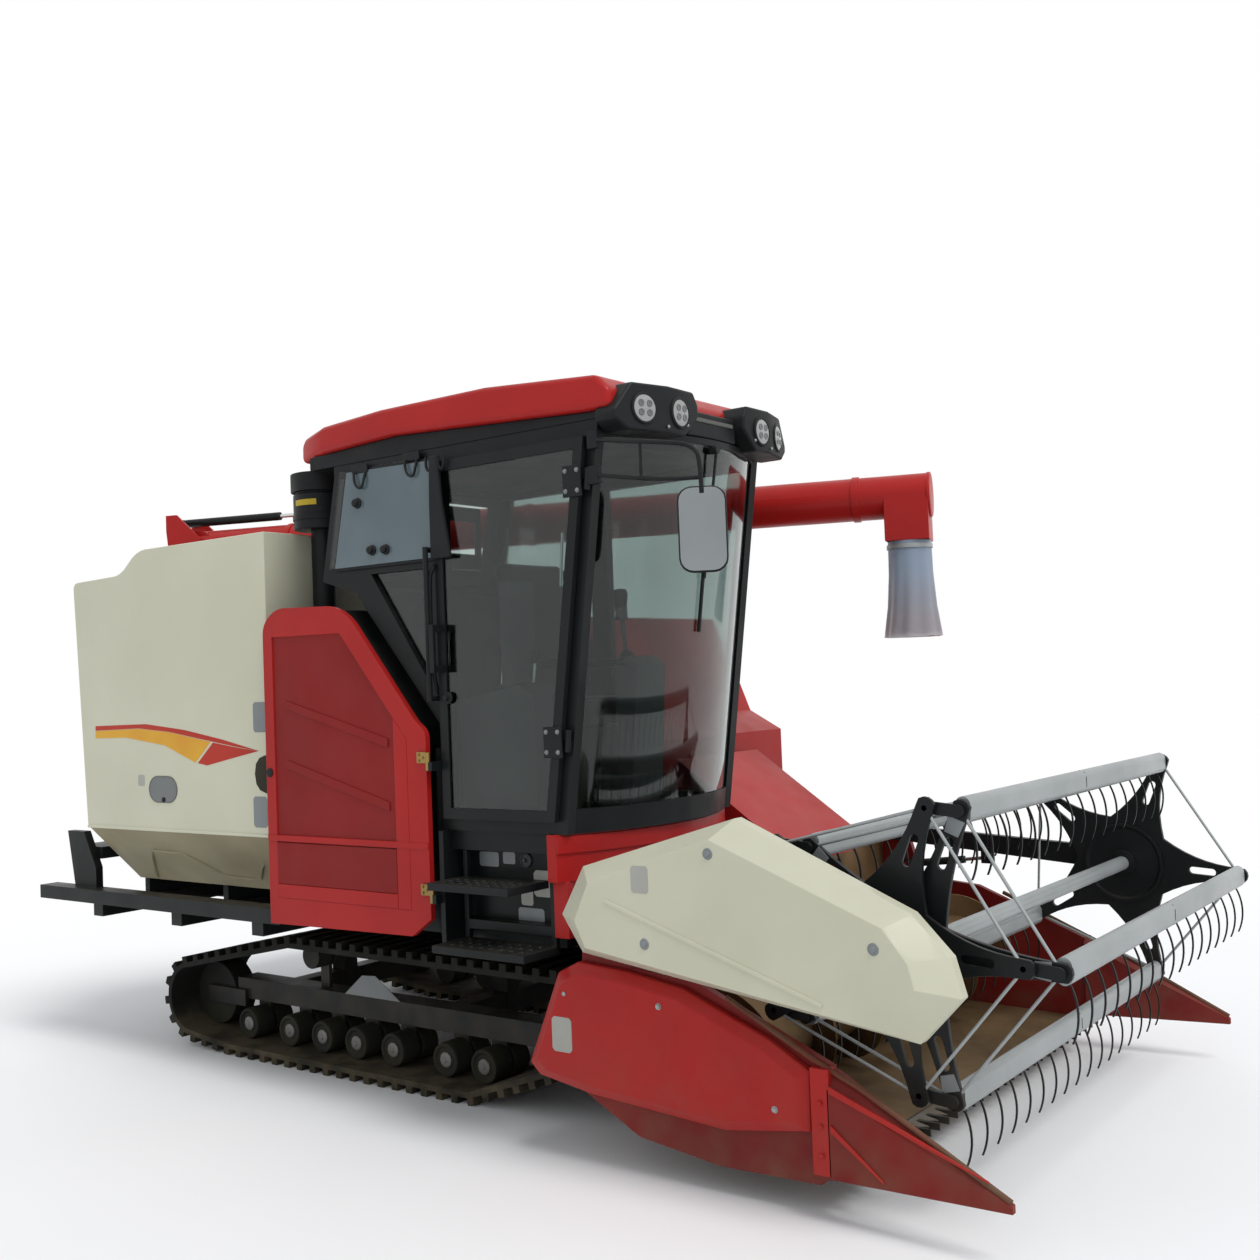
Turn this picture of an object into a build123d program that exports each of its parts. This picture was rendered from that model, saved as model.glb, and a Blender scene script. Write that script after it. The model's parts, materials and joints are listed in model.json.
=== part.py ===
# Tracked combine harvester, modelled in millimetres.
# X points forward, Y to the machine's left, Z up. The ground is Z = 0.

from math import atan2, cos, degrees, pi, radians, sin
import os

from build123d import *

os.makedirs("parts", exist_ok=True)

# Whole machine
centre_y = 45.0
running_gap = 0.4
body_gap = 6.0

# Tracks
track_gauge = 1360.0
track_width = 450.0
belt_thickness = 25.0
lug_height = 30.0
lug_pitch = 90.0
lug_length = 38.0
belt_gap = 0.5
roller_radius = 75.0
roller_width = 95.0
roller_x = (-1488.0, -1182.0, -946.0, -712.0, -471.0, -142.0, 84.0)
roller_z = lug_height + belt_thickness + belt_gap + roller_radius
idler_x = -1800.0
idler_z = 240.0
idler_radius = 155.0
sprocket_x = 640.0
sprocket_z = 400.0
sprocket_radius = 150.0
sprocket_teeth = 9
carrier_x = -1030.0
carrier_z = 495.0
carrier_radius = 60.0
wheel_width = 120.0

# Track beams and chassis
beam_low = 235.0
beam_high = 335.0
beam_half = 60.0
hanger_half = 10.0
fork_plate = 20.0
axle_radius = 22.0
rail_low = 640.0
rail_high = 740.0
rail_half = 40.0
rail_offset = 330.0
rail_rear = -2300.0
rail_front = 600.0
post_x = (-1300.0, -200.0)
deck_x = (-2150.0, -1500.0, -900.0)
side_rail_right = -1140.0
side_rail_width = 100.0
side_rail_low = 730.0
side_rail_high = 790.0
side_rail_wall = 8.0
side_rail_rear = -2670.0
side_rail_front = -735.0

# Bodywork
tank_right = -1140.0
body_split = 20.0
tank_front = -770.0
tank_low = 1120.0
tank_top = 2465.0
tank_rear_top = 2345.0
tank_rear_low_x = -2210.0
tank_rear_high_x = -2294.0
hopper_low = 820.0
body_left = 1150.0
body_front = 480.0
body_top = 2050.0
cover_thickness = 25.0
cover_right = -1175.0
cover_hinge_x = 252.0
cover_hinge_z = (930.0, 1450.0)

# Cab
cab_right = -1105.0
cab_left = 5.0
cab_wall = 45.0
cab_low = 1177.0
cab_floor = 20.0
cab_high = 2700.0
cab_foot_x = 890.0
cab_lean = 0.1435
cab_bulge = 145.0
cab_back_x = 250.0
glass = 6.0
door_rear_x = 285.0
door_low = 1225.0
door_high = 2640.0
door_thickness = 25.0
door_rim = 42.0
door_hinge_z = (1526.0, 2482.0)
knuckle_radius = 11.0
hinge_pin_radius = 5.0
knuckle_length = 40.0

# Roof
roof_right = -1145.0
roof_left = 55.0
roof_inset = 35.0
roof_corner_x = 250.0
roof_corner_y = 95.0
roof_under = [(-600.0, 2752.0), (70.0, 2780.0), (580.0, 2752.0), (1050.0, 2730.0), (1190.0, 2728.0)]
roof_over = [(1190.0, 2795.0), (1130.0, 2855.0), (580.0, 2895.0), (0.0, 2895.0), (-560.0, 2862.0), (-600.0, 2835.0)]
visor_rear = -480.0
pod_low = 2665.0
pod_high = 2842.0
pod_width = 440.0
pod_corner = 1215.0
pod_front = 1285.0
pod_bend = 245.0
lamp_radius = 52.0
lamp_depth = 14.0
lamp_inner = 325.0

# Header
pivot_x = 540.0
pivot_z = 1230.0
pivot_radius = 24.0
feeder_right = 110.0
feeder_left = 800.0
feeder_wall = 15.0
ear_thickness = 20.0
header_right = -1155.0
header_left = 1245.0
side_thickness = 30.0
back_x = 980.0
back_thickness = 20.0
back_top = 900.0
pan_thickness = 10.0
knife_x = 1930.0
knife_z = 135.0
auger_x = 1400.0
auger_z = 420.0
auger_core = 150.0
trough_radius = 270.0
auger_shaft = 25.0
mouth_low = 370.0
mouth_high = 860.0
mouth_sill = 480.0
trough_start = 560.0
divider_x = 1990.0
divider_tip = 2585.0
guard_pitch = 76.2

# Reel
reel_x = 2215.0
reel_z = 855.0
reel_radius = 475.0
reel_phase = 68.0
reel_bars = 5
crank_x = -100.0
crank_z = 10.0
axle_tube = 30.0
spider_thickness = 20.0
spider_right = -984.0
spider_left = 1120.0
bar_height = 85.0
bar_width = 50.0
bar_gap = 8.0
stub_radius = 14.0
crank_thickness = 12.0
crank_pin = 9.0
ring_inner = 150.0
ring_outer = 190.0
ring_thickness = 16.0
tine_drop = 185.0
tine_wire = 6.0
tine_pitch = 125.0
tine_count = 17
arm_pivot_x = 1050.0
arm_pivot_z = 950.0
arm_right = -1110.0
arm_left = 1205.0
arm_thickness = 40.0
arm_half = 35.0
arm_pin = 20.0

# Lift cylinders, by the places of foot and eye
lift_pin = 12.0
header_foot = (250.0, 590.0)
header_eye = (800.0, 518.0)
header_cylinder_y = 455.0
lift_foot = (1145.0, 790.0)
lift_eye = (1560.0, 838.0)
unloader_rod = 11.0
unloader_closing = 126.0

# Unloading auger
turret_radius = 125.0
collar_top = 2375.0
unloader_x = -2150.0
unloader_y = -450.0
unloader_z = 2540.0
mast_rise = 150.0
mast_eye = (-120.0, unloader_z + mast_rise)
tube_eye = (850.0, unloader_z + mast_rise)
unloader_turn = 19.4
unloader_reach = 3878.0
unloader_radius = 100.0
cheek_gap = 6.0
cheek_thickness = 14.0
spout_length = 220.0
spout_low = unloader_z - 210.0
sleeve_low = spout_low - 450.0
sleeve_radius = 105.0
sleeve_wall = 5.0


def save(piece, label):
    """Name a finished piece and write it."""
    piece.part.label = label
    export_step(piece.part, f"parts/{label}.step")


def box_between(x_low, x_high, y_low, y_high, z_low, z_high, mode=Mode.ADD):
    """Add a block by its six faces."""
    with Locations(((x_low + x_high) / 2, (y_low + y_high) / 2, (z_low + z_high) / 2)):
        Box(x_high - x_low, y_high - y_low, z_high - z_low, mode=mode)


def side_outline(points, y_low, y_high, mode=Mode.ADD):
    """Extrude an outline in X and Z between two planes across the machine."""
    with BuildSketch(Plane.XZ.offset(-y_high)) as outline:
        with BuildLine():
            Polyline(*points, close=True)
        make_face()
    extrude(outline.sketch, amount=y_high - y_low, mode=mode)


def cross_rod(x, z, radius, y_low, y_high, mode=Mode.ADD):
    """A round bar, or a bore, across the machine."""
    with BuildSketch(Plane.XZ.offset(-y_high)) as disc:
        with Locations((x, z)):
            Circle(radius)
    extrude(disc.sketch, amount=y_high - y_low, mode=mode)


def strut(start, end, radius, mode=Mode.ADD):
    """A round bar from one point to another."""
    run = Vector(*end) - Vector(*start)
    with BuildSketch(Plane(origin=start, z_dir=run)) as disc:
        Circle(radius)
    extrude(disc.sketch, amount=run.length, mode=mode)


def height_on(line, x):
    """Height of a polyline, given as points in X and Z, at one X."""
    for (x_low, z_low), (x_high, z_high) in zip(line, line[1:]):
        if x_low <= x <= x_high:
            return z_low + (z_high - z_low) * (x - x_low) / (x_high - x_low)
    return line[-1][1]


# Tracks: a belt round the wheels, with a lug across it at each pitch
wheels = [(idler_x, idler_z, idler_radius), (carrier_x, carrier_z, carrier_radius)]
wheels += [(sprocket_x, sprocket_z, sprocket_radius)]
wheels += [(x, roller_z, roller_radius) for x in roller_x]
lug_root = 4.0
loop_middle = Vector((idler_x + sprocket_x) / 2, 0, (idler_z + sprocket_z) / 2)


def wrap_wheels(grow):
    """The convex outline round all wheels, grown outwards."""
    for x, z, radius in wheels:
        with Locations((x, z)):
            Circle(radius + grow)
    make_hull()


with BuildSketch(Plane.XZ) as belt_wrap:
    wrap_wheels(belt_gap + belt_thickness)
belt_edge = belt_wrap.sketch.faces()[0].outer_wire()
lug_count = round(belt_edge.length / lug_pitch)


def lug_places(track_y):
    """One place for each lug, at the middle of its height, with X along the belt."""
    places = []
    for index in range(lug_count):
        along = belt_edge.tangent_at(index / lug_count)
        point = belt_edge.position_at(index / lug_count)
        outward = Vector(along.Z, 0, -along.X)
        if outward.dot(point - loop_middle) < 0:
            outward = outward * -1
        middle = point + outward * (lug_height - lug_root) / 2
        plane = Plane(origin=(middle.X, track_y, middle.Z), x_dir=along, z_dir=(0, 1, 0))
        places.append(Location(plane))
    return places


def track_plane(track_y):
    """The plane on a track's left face."""
    return Plane.XZ.offset(-track_y - track_width / 2)


sides = ((-1, "right"), (1, "left"))
track_middle = {side: centre_y + side * track_gauge / 2 for side, name in sides}
for side, name in sides:
    with BuildPart() as track:
        with BuildSketch(track_plane(track_middle[side])):
            wrap_wheels(belt_gap + belt_thickness)
        extrude(amount=track_width)
        with BuildSketch(track_plane(track_middle[side])):
            wrap_wheels(belt_gap)
        extrude(amount=track_width, mode=Mode.SUBTRACT)
        with Locations(*lug_places(track_middle[side])):
            Box(lug_length, lug_height + lug_root, track_width)
    save(track, f"track_{name}")

# Track wheels: pairs of road rollers, the carrier roller, the idler and the toothed sprocket
tooth_height = 18.0
tooth_width = 34.0
for side, name in sides:
    middle = track_middle[side]
    with BuildPart() as wheel_set:
        for x in roller_x:
            cross_rod(x, roller_z, roller_radius, middle + hanger_half, middle + hanger_half + roller_width)
            cross_rod(x, roller_z, roller_radius, middle - hanger_half - roller_width, middle - hanger_half)
        cross_rod(carrier_x, carrier_z, carrier_radius, middle + hanger_half, middle + roller_width)
        cross_rod(carrier_x, carrier_z, carrier_radius, middle - roller_width, middle - hanger_half)
        cross_rod(idler_x, idler_z, idler_radius, middle - wheel_width / 2, middle + wheel_width / 2)
        cross_rod(idler_x, idler_z, axle_radius, middle - wheel_width / 2, middle + wheel_width / 2, Mode.SUBTRACT)
        with BuildSketch(Plane.XZ.offset(-middle - wheel_width / 2)):
            with Locations((sprocket_x, sprocket_z)):
                Circle(sprocket_radius - tooth_height)
                with PolarLocations(sprocket_radius - tooth_height, sprocket_teeth):
                    RectangleRounded(2 * tooth_height - 2, tooth_width, 6)
        extrude(amount=wheel_width)
    save(wheel_set, f"track_wheels_{name}")

# Chassis: two rails and the deck across them, posts and tubes down to the beams inside the tracks
rail_middle = (centre_y - rail_offset, centre_y + rail_offset)
beam_inner = (track_middle[-1] + beam_half, track_middle[1] - beam_half)
beam_rear = idler_x + idler_radius + 15
beam_front = sprocket_x - sprocket_radius - 40
with BuildPart() as chassis_frame:
    for y in rail_middle:
        box_between(rail_rear, rail_front, y - rail_half, y + rail_half, rail_low, rail_high)
    for x in deck_x:
        box_between(x - 40, x + 40, side_rail_right + side_rail_wall, body_left - 30, rail_low + 30, rail_high)
    for x in deck_x[:2]:
        box_between(x - 20, x + 20, -850, -450, rail_high, hopper_low)
    for x in (rail_rear + 40, rail_front - 40, -500.0):
        box_between(x - 40, x + 40, rail_middle[0], rail_middle[1], rail_low, rail_high)
    foot_plate = rail_middle[1] + rail_half
    box_between(header_foot[0] - 40, header_foot[0] + 40, foot_plate - 20, foot_plate, header_foot[1] - 30, rail_low)
    cross_rod(header_foot[0], header_foot[1], lift_pin, foot_plate - 1, header_cylinder_y + 20)
save(chassis_frame, "chassis_frame")

with BuildPart() as track_posts:
    for x in post_x:
        for y in rail_middle:
            box_between(x - 50, x + 50, y - rail_half, y + rail_half, beam_low, rail_low)
        box_between(x - 45, x + 45, beam_inner[0], beam_inner[1], beam_low, beam_high)
save(track_posts, "track_posts")

with BuildPart() as track_beams:
    for side, name in sides:
        middle = track_middle[side]
        box_between(beam_rear, beam_front, middle - beam_half, middle + beam_half, beam_low, beam_high)
        for x in roller_x:
            box_between(x - 45, x + 45, middle - hanger_half, middle + hanger_half, roller_z, beam_low)
            cross_rod(x, roller_z, 45, middle - hanger_half, middle + hanger_half)
        box_between(carrier_x - 30, carrier_x + 30, middle - hanger_half, middle + hanger_half, beam_high, carrier_z)
        for face in (middle - beam_half - fork_plate, middle + beam_half):
            box_between(idler_x - 40, beam_rear + 80, face, face + fork_plate, idler_z - 40, idler_z + 40)
        cross_rod(idler_x, idler_z, axle_radius, middle - beam_half - 1, middle + beam_half + 1)
save(track_beams, "track_beams")

with BuildPart() as drive_gearbox:
    gear_half = 150.0
    box_between(sprocket_x - 150, sprocket_x + 50, centre_y - gear_half, centre_y + gear_half, 260, rail_low)
    for side, name in sides:
        reach = sorted((centre_y + side * gear_half, track_middle[side] - side * wheel_width / 2))
        cross_rod(sprocket_x, sprocket_z, 85, reach[0], reach[1])
save(drive_gearbox, "drive_gearbox")

# Black channel along the right side, with the red post that ties its rear end to the tank
with BuildPart() as side_rail:
    box_between(side_rail_rear, side_rail_front, side_rail_right, side_rail_right + side_rail_wall,
                side_rail_low, side_rail_high)
    box_between(side_rail_rear, side_rail_front, side_rail_right, side_rail_right + side_rail_width,
                side_rail_high, side_rail_high + side_rail_wall)
    side_outline([(-2480, 1080), (-2330, 1080), (-2230, 900), (-2230, side_rail_high), (-2420, side_rail_high)],
                 -1090, -1050)
    box_between(-2480, tank_rear_low_x - 25, -1050, -700, 940, 1000)
save(side_rail, "side_rail")

# Engine, kept as one block, and its sloping housing behind and under the cab
engine_top = 1500.0
engine_front = 150.0
with BuildPart() as engine_block:
    box_between(-640, engine_front, -1000, -250, rail_high, engine_top)
    edges = engine_block.edges().filter_by(Axis.Z)
    chamfer(edges, 40)
save(engine_block, "engine_block")

with BuildPart() as engine_housing:
    side_outline([(-758, engine_top), (-758, 2085), (-262, 2085), (166, 1585), (166, engine_top)], -1130, 10)
save(engine_housing, "engine_housing")

# Grain tank with a sloping inner shoulder, and the tapering trough under it
shoulder_outer = -880.0
shoulder_inner = -745.0
with BuildPart() as grain_tank:
    tank_side = [(tank_front, tank_low), (tank_front, tank_top), (-1730, tank_top), (-1880, tank_rear_top + 10),
                 (tank_rear_high_x, tank_rear_top), (tank_rear_low_x, tank_low)]
    side_outline(tank_side, tank_right, body_split)
    with BuildSketch(Plane.YZ.offset(tank_rear_high_x - 10)):
        with BuildLine():
            Polyline((shoulder_outer, tank_top + 5), (shoulder_inner, tank_rear_top), (body_split + 5, tank_rear_top),
                     (body_split + 5, tank_top + 5), close=True)
        make_face()
    extrude(amount=tank_front - tank_rear_high_x + 20, mode=Mode.SUBTRACT)
    with BuildSketch(Plane.YZ.offset(tank_rear_low_x)):
        with BuildLine():
            Polyline((tank_right, tank_low), (-850, hopper_low), (-450, hopper_low), (body_split, tank_low), close=True)
        make_face()
    extrude(amount=tank_front - tank_rear_low_x)
    with BuildSketch(Plane.XY.offset(tank_rear_top - 5)):
        with Locations((unloader_x, unloader_y)):
            Circle(turret_radius + 15)
    extrude(amount=collar_top - tank_rear_top + 5)
save(grain_tank, "grain_tank")

# Threshing body on the left, with its feeder ears in front, and the straw hood behind
body_low = rail_high
with BuildPart() as threshing_body:
    side_outline([(-2200, body_low), (-2200, 1700), (-2050, body_top), (100, body_top), (300, 1560), (body_front, 1460),
                  (body_front, 1000), (300, body_low)], body_split, body_left)
    for y in (feeder_right - body_gap - ear_thickness, feeder_left + body_gap):
        side_outline([(body_front, 1140), (body_front, 1320), (pivot_x + 20, 1290), (pivot_x + 55, pivot_z),
                      (pivot_x + 20, 1170)], y, y + ear_thickness)
        cross_rod(pivot_x, pivot_z, pivot_radius + running_gap, y, y + ear_thickness, Mode.SUBTRACT)
    with BuildSketch(Plane.XZ.offset(-body_left)):
        with Locations((-1750, 1250), (-850, 1350), (-150, 1150)):
            Circle(230)
        make_hull()
    extrude(amount=-60)
save(threshing_body, "threshing_body")

with BuildPart() as straw_hood:
    side_outline([(-2200, 900), (-2200, 1690), (-2420, 1640), (-2715, 1180), (-2715, 1040), (-2380, 900)], 120, 1080)
    side_outline([(-2210, 885), (-2210, 1660), (-2410, 1615), (-2690, 1175), (-2690, 885)], 140, 1060, Mode.SUBTRACT)
save(straw_hood, "straw_hood")

# Air cleaner between tank and cab
cleaner_x = -700.0
cleaner_y = -855.0
with BuildPart() as air_cleaner:
    for low, high, radius in ((2085, 2480, 55), (2480, 2640, 130), (2650, 2735, 140), (2640, 2650, 120)):
        with BuildSketch(Plane.XY.offset(low)):
            with Locations((cleaner_x, cleaner_y)):
                Circle(radius)
        extrude(amount=high - low)
save(air_cleaner, "air_cleaner")


# Cab
pod_face = roof_under[-1][0]


def pillar_x(z, inset=0.0):
    """Front edge of the cab side at one height."""
    return cab_foot_x + (z - cab_low) * cab_lean - inset


lean_direction = Vector(cab_lean, 0, 1)
cab_middle = (cab_right + cab_left) / 2


def front_band(z_low, z_high, depth, y_inset, x_shift=0.0, mode=Mode.ADD):
    """A band that is curved in plan and leans forward with the pillars."""
    end_x = pillar_x(z_low) + x_shift
    right = cab_right + y_inset
    left = cab_left - y_inset
    with BuildSketch(Plane.XY.offset(z_low)) as band:
        with BuildLine():
            ThreePointArc((end_x, right), (end_x + cab_bulge, cab_middle), (end_x, left))
            Line((end_x, left), (end_x - depth, left))
            ThreePointArc((end_x - depth, left), (end_x - depth + cab_bulge, cab_middle), (end_x - depth, right))
            Line((end_x - depth, right), (end_x, right))
        make_face()
    extrude(band.sketch, amount=(z_high - z_low) * lean_direction.length, dir=lean_direction, mode=mode)


inner_right = cab_right + cab_wall
inner_left = cab_left - cab_wall
door_outer = cab_right - body_gap - door_thickness
hinge_y = cab_right - body_gap - door_thickness / 2
cover_inner = cover_right + cover_thickness
cover_hinge_y = cover_right - 4.0
cover_pin = 4.0
cover_knuckle = 9.0
cover_knuckle_length = 35.0


def hinge_plane(z):
    """A plane across the door's hinge line at one height."""
    return Plane(origin=(pillar_x(z, 14), hinge_y, z), z_dir=lean_direction)


def hinge_post(z, seat_y):
    """The fixed half of one hinge of the engine cover: a pin, a knuckle and a leaf back to its seat."""
    for radius, length in ((cover_pin, cover_knuckle_length), (cover_knuckle, -cover_knuckle_length)):
        with BuildSketch(Plane.XY.offset(z)) as disc:
            with Locations((cover_hinge_x, cover_hinge_y)):
                Circle(radius)
        extrude(disc.sketch, amount=length)
    box_between(cover_hinge_x + 2, door_rear_x - body_gap, cover_hinge_y - cover_knuckle + 2, seat_y + 1,
                z - cover_knuckle_length, z)


sill_high = 1268.0
header_low = 2640.0
cab_side = [(pillar_x(cab_low), cab_low), (pillar_x(cab_high), cab_high), (-318, cab_high), (-422, 2215), (-215, 2150),
            (cab_back_x, 1600), (cab_back_x, cab_low)]
pillar = 55.0
door_hole = [(door_rear_x + 20, 1245), (pillar_x(1245, pillar), 1245), (pillar_x(2620, pillar), 2620),
             (door_rear_x + 20, 2620)]
rear_hole = [(-365, 2270), (-288, 2640), (215, 2640), (215, 2270)]
quarter_hole = [(-120, 2225), (205, 2225), (205, 1760)]
with BuildPart() as cab_frame:
    for y in (cab_right, cab_left - cab_wall):
        side_outline(cab_side, y, y + cab_wall)
        for hole in (door_hole, rear_hole, quarter_hole):
            side_outline(hole, y, y + cab_wall, Mode.SUBTRACT)
    front_band(cab_low, sill_high, 40, cab_wall)
    front_band(header_low, cab_high, 40, cab_wall)
    box_between(-330, -280, cab_right + 1, cab_left - 1, header_low, cab_high)
    box_between(pod_face - 1, pod_front + 50, roof_right, roof_left, pod_low - 1, cab_high + 1, Mode.SUBTRACT)
    for z in door_hinge_z:
        with BuildSketch(hinge_plane(z)):
            Circle(hinge_pin_radius)
        extrude(amount=knuckle_length)
        with BuildSketch(hinge_plane(z)):
            Circle(knuckle_radius)
            with Locations((0, 11)):
                Rectangle(14, 20)
        extrude(amount=-knuckle_length)
    strut((262, cab_right + 5, 1700), (262, cab_right - 60, 1700), 11)
    strut((262, cab_right + 5, 2290), (262, cab_right - 60, 2290), 11)
    strut((262, cab_right - 60, 1689), (262, cab_right - 60, 2301), 11)
    hinge_post(cover_hinge_z[1], cab_right)
save(cab_frame, "cab_frame")

with BuildPart() as windshield:
    front_band(sill_high, header_low, glass, cab_wall, -10)
save(windshield, "windshield")

with BuildPart() as cab_rear_wall:
    side_outline([(cab_back_x, cab_low), (cab_back_x, 1600), (-215, 2150), (-422, 2215), (-331, header_low),
                  (-319, header_low), (-408, 2224), (-208, 2162), (cab_back_x + 12, 1605), (cab_back_x + 12, cab_low)],
                 inner_right, inner_left)
    box_between(-460, -280, -960, -140, 2300, 2600, Mode.SUBTRACT)
save(cab_rear_wall, "cab_rear_wall")


rear_pane = [(-375, 2262), (-290, 2672), (222, 2672), (205, 2262)]
with BuildPart() as side_windows:
    for points, y in ((rear_pane, cab_right - glass), (quarter_hole, cab_right + 20), (door_hole, cab_left - 25),
                      (rear_hole, cab_left - 25), (quarter_hole, cab_left - 25)):
        side_outline(points, y, y + glass)
save(side_windows, "side_windows")

# Cab door, hung on the leaning right pillar
door_front_inset = 40.0
door_outline = [(door_rear_x, door_low), (pillar_x(door_low, door_front_inset), door_low),
                (pillar_x(door_high, door_front_inset), door_high), (door_rear_x, door_high)]
glass_low = door_low + door_rim
glass_high = door_high - door_rim
pane_front = door_front_inset + door_rim
pane_outline = [(door_rear_x + door_rim, glass_low), (pillar_x(glass_low, pane_front), glass_low),
                (pillar_x(glass_high, pane_front), glass_high), (door_rear_x + door_rim, glass_high)]


with BuildPart() as door_frame:
    side_outline(door_outline, door_outer, door_outer + door_thickness)
    side_outline(pane_outline, door_outer, door_outer + door_thickness, Mode.SUBTRACT)
    for z in door_hinge_z:
        with BuildSketch(hinge_plane(z)):
            Circle(knuckle_radius)
            with Locations((-16, 0)):
                Rectangle(32, 8)
        extrude(amount=knuckle_length)
        with BuildSketch(hinge_plane(z)):
            Circle(hinge_pin_radius + running_gap)
        extrude(amount=knuckle_length, mode=Mode.SUBTRACT)
    box_between(door_rear_x + 6, door_rear_x + 30, door_outer - 40, door_outer, 1800, 1830)
    box_between(door_rear_x + 6, door_rear_x + 30, door_outer - 40, door_outer, 1960, 1990)
    box_between(door_rear_x + 6, door_rear_x + 30, door_outer - 55, door_outer - 40, 1800, 1990)
save(door_frame, "door_frame")

with BuildPart() as door_glass:
    side_outline(pane_outline, door_outer + 8, door_outer + 8 + glass)
save(door_glass, "door_glass")

# Roof, its dark underside, the lamp pods and the lamps
visor_points = [(visor_rear, height_on(roof_under, visor_rear))] + roof_under[1:]
visor_points += [(roof_under[-1][0], cab_high), (visor_rear, cab_high)]
roof_rear = roof_under[0][0]
with BuildPart() as cab_roof:
    side_outline(roof_under + roof_over, roof_right, roof_left)
    for edge_y, turn in ((roof_right, 1), (roof_left, -1)):
        with BuildSketch(Plane.XY.offset(cab_high)) as corner:
            with BuildLine():
                Polyline((roof_rear - 1, edge_y - turn), (roof_rear - 1, edge_y + turn * roof_corner_y),
                         (roof_rear + roof_corner_x, edge_y - turn), close=True)
            make_face()
        extrude(corner.sketch, amount=cab_high, mode=Mode.SUBTRACT)
save(cab_roof, "cab_roof")

with BuildPart() as roof_visor:
    side_outline(visor_points, roof_right + roof_inset, roof_left - roof_inset)
    for outer, turn in ((roof_right, 1), (roof_left, -1)):
        with BuildSketch(Plane.XY.offset(pod_low)):
            with BuildLine():
                Polyline((pod_face, outer), (pod_corner, outer), (pod_front, outer + turn * pod_bend),
                         (pod_front, outer + turn * pod_width), (pod_face, outer + turn * pod_width), close=True)
            make_face()
        extrude(amount=pod_high - pod_low)
save(roof_visor, "roof_visor")

pod_yaw = degrees(atan2(pod_front - pod_corner, pod_bend))
lamp_z = (pod_low + pod_high) / 2
with BuildPart() as work_lamps:
    for outer, turn in ((roof_right, 1), (roof_left, -1)):
        slanted = Plane(origin=((pod_corner + pod_front) / 2, outer + turn * pod_bend / 2, lamp_z),
                        z_dir=(cos(radians(pod_yaw)), -turn * sin(radians(pod_yaw)), 0))
        straight = Plane(origin=(pod_front, outer + turn * lamp_inner, lamp_z), z_dir=(1, 0, 0))
        for face in (slanted, straight):
            with BuildSketch(face):
                Circle(lamp_radius)
            extrude(amount=lamp_depth)
save(work_lamps, "work_lamps")

# Seat, console and levers
with BuildPart() as seat_base:
    box_between(cab_back_x + 30, 640, -760, -340, cab_low + cab_floor, 1560)
save(seat_base, "seat_base")

with BuildPart() as seat_cushion:
    box_between(290, 760, -790, -310, 1560, 1680)
    fillet(seat_cushion.edges().filter_by(Axis.Y), 35)
save(seat_cushion, "seat_cushion")

with BuildPart() as seat_back:
    side_outline([(300, 1680), (400, 1680), (300, 2290), (215, 2270)], -770, -330)
save(seat_back, "seat_back")

with BuildPart() as cab_controls:
    side_outline([(300, cab_low + cab_floor), (300, 1690), (620, 1740), (700, 1690), (700, cab_low + cab_floor)], -1040, -830)
    box_between(500, 560, -1000, -860, 1690, 2150)
    side_outline([(790, cab_low + cab_floor), (790, 1780), (850, 1840), (900, 1800), (860, 1300), (835, cab_low + cab_floor)],
                 -650, -450)
    strut((820, -600, 1800), (800, -600, 1990), 10)
    strut((800, -600, 1985), (798, -600, 2040), 24)
save(cab_controls, "cab_controls")

# Base under the cab, with the post that carries the engine cover, and the red nose
with BuildPart() as cab_base:
    box_between(270, 800, -1020, -20, rail_high, cab_low)
    box_between(268, 292, -1150, -1020, rail_high, cab_low)
    hinge_post(cover_hinge_z[0], -1140)
    box_between(cab_back_x + 14, 800, -1090, -1020, 1100, cab_low)
    box_between(cab_back_x + 14, cab_foot_x - 45, inner_right, inner_left, cab_low, cab_low + cab_floor)
save(cab_base, "cab_base")

nose_low = 1000.0
with BuildPart() as nose_panel:
    with BuildSketch(Plane.XY.offset(nose_low)):
        with BuildLine():
            Polyline((800, -1120), (845, -1120))
            ThreePointArc((845, -1120), (1005, -550), (845, 15))
            Polyline((845, 15), (800, 15), (800, -1120))
        make_face()
    extrude(amount=cab_low - nose_low)
    box_between(800, 870, -1090, 0, 790, nose_low)
save(nose_panel, "nose_panel")

with BuildPart() as steps:
    box_between(300, 720, -1255, -1091, 960, 990)
    box_between(300, 720, -1091, -1020, 960, 990)
    box_between(330, 800, -1270, -1060, 725, 755)
    for x in (330, 776):
        box_between(x, x + 24, -1084, -1060, 755, 1100)
    box_between(330, 800, -1084, -1020, 790, 830)
save(steps, "steps")

mirror_place = Vector(1550, -1155, 2250)
mirror_turn = -58.0
mirror_normal = Vector(cos(radians(mirror_turn)), sin(radians(mirror_turn)), 0)
mirror_post = mirror_place - mirror_normal * 35
mirror_arm_z = (2440.0, 2510.0)
with BuildPart() as mirror:
    with BuildSketch(Plane(origin=mirror_place, x_dir=(-mirror_normal.Y, mirror_normal.X, 0), z_dir=mirror_normal)):
        RectangleRounded(165, 285, 40)
    extrude(amount=25, both=True)
    with BuildSketch(Plane.XY.offset(mirror_place.Z - 60)):
        with Locations((mirror_post.X, mirror_post.Y)):
            Circle(13)
    extrude(amount=260)
    side_outline([(pillar_x(2420), 2420), (pillar_x(2530), 2530), (pillar_x(2530) + 12, 2530),
                  (pillar_x(2420) + 12, 2420)], cab_right + 8, cab_right + 32)
    for z in mirror_arm_z:
        strut((pillar_x(z) + 5, cab_right + 20, z), (mirror_post.X, mirror_post.Y, z - 80), 9)
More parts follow.
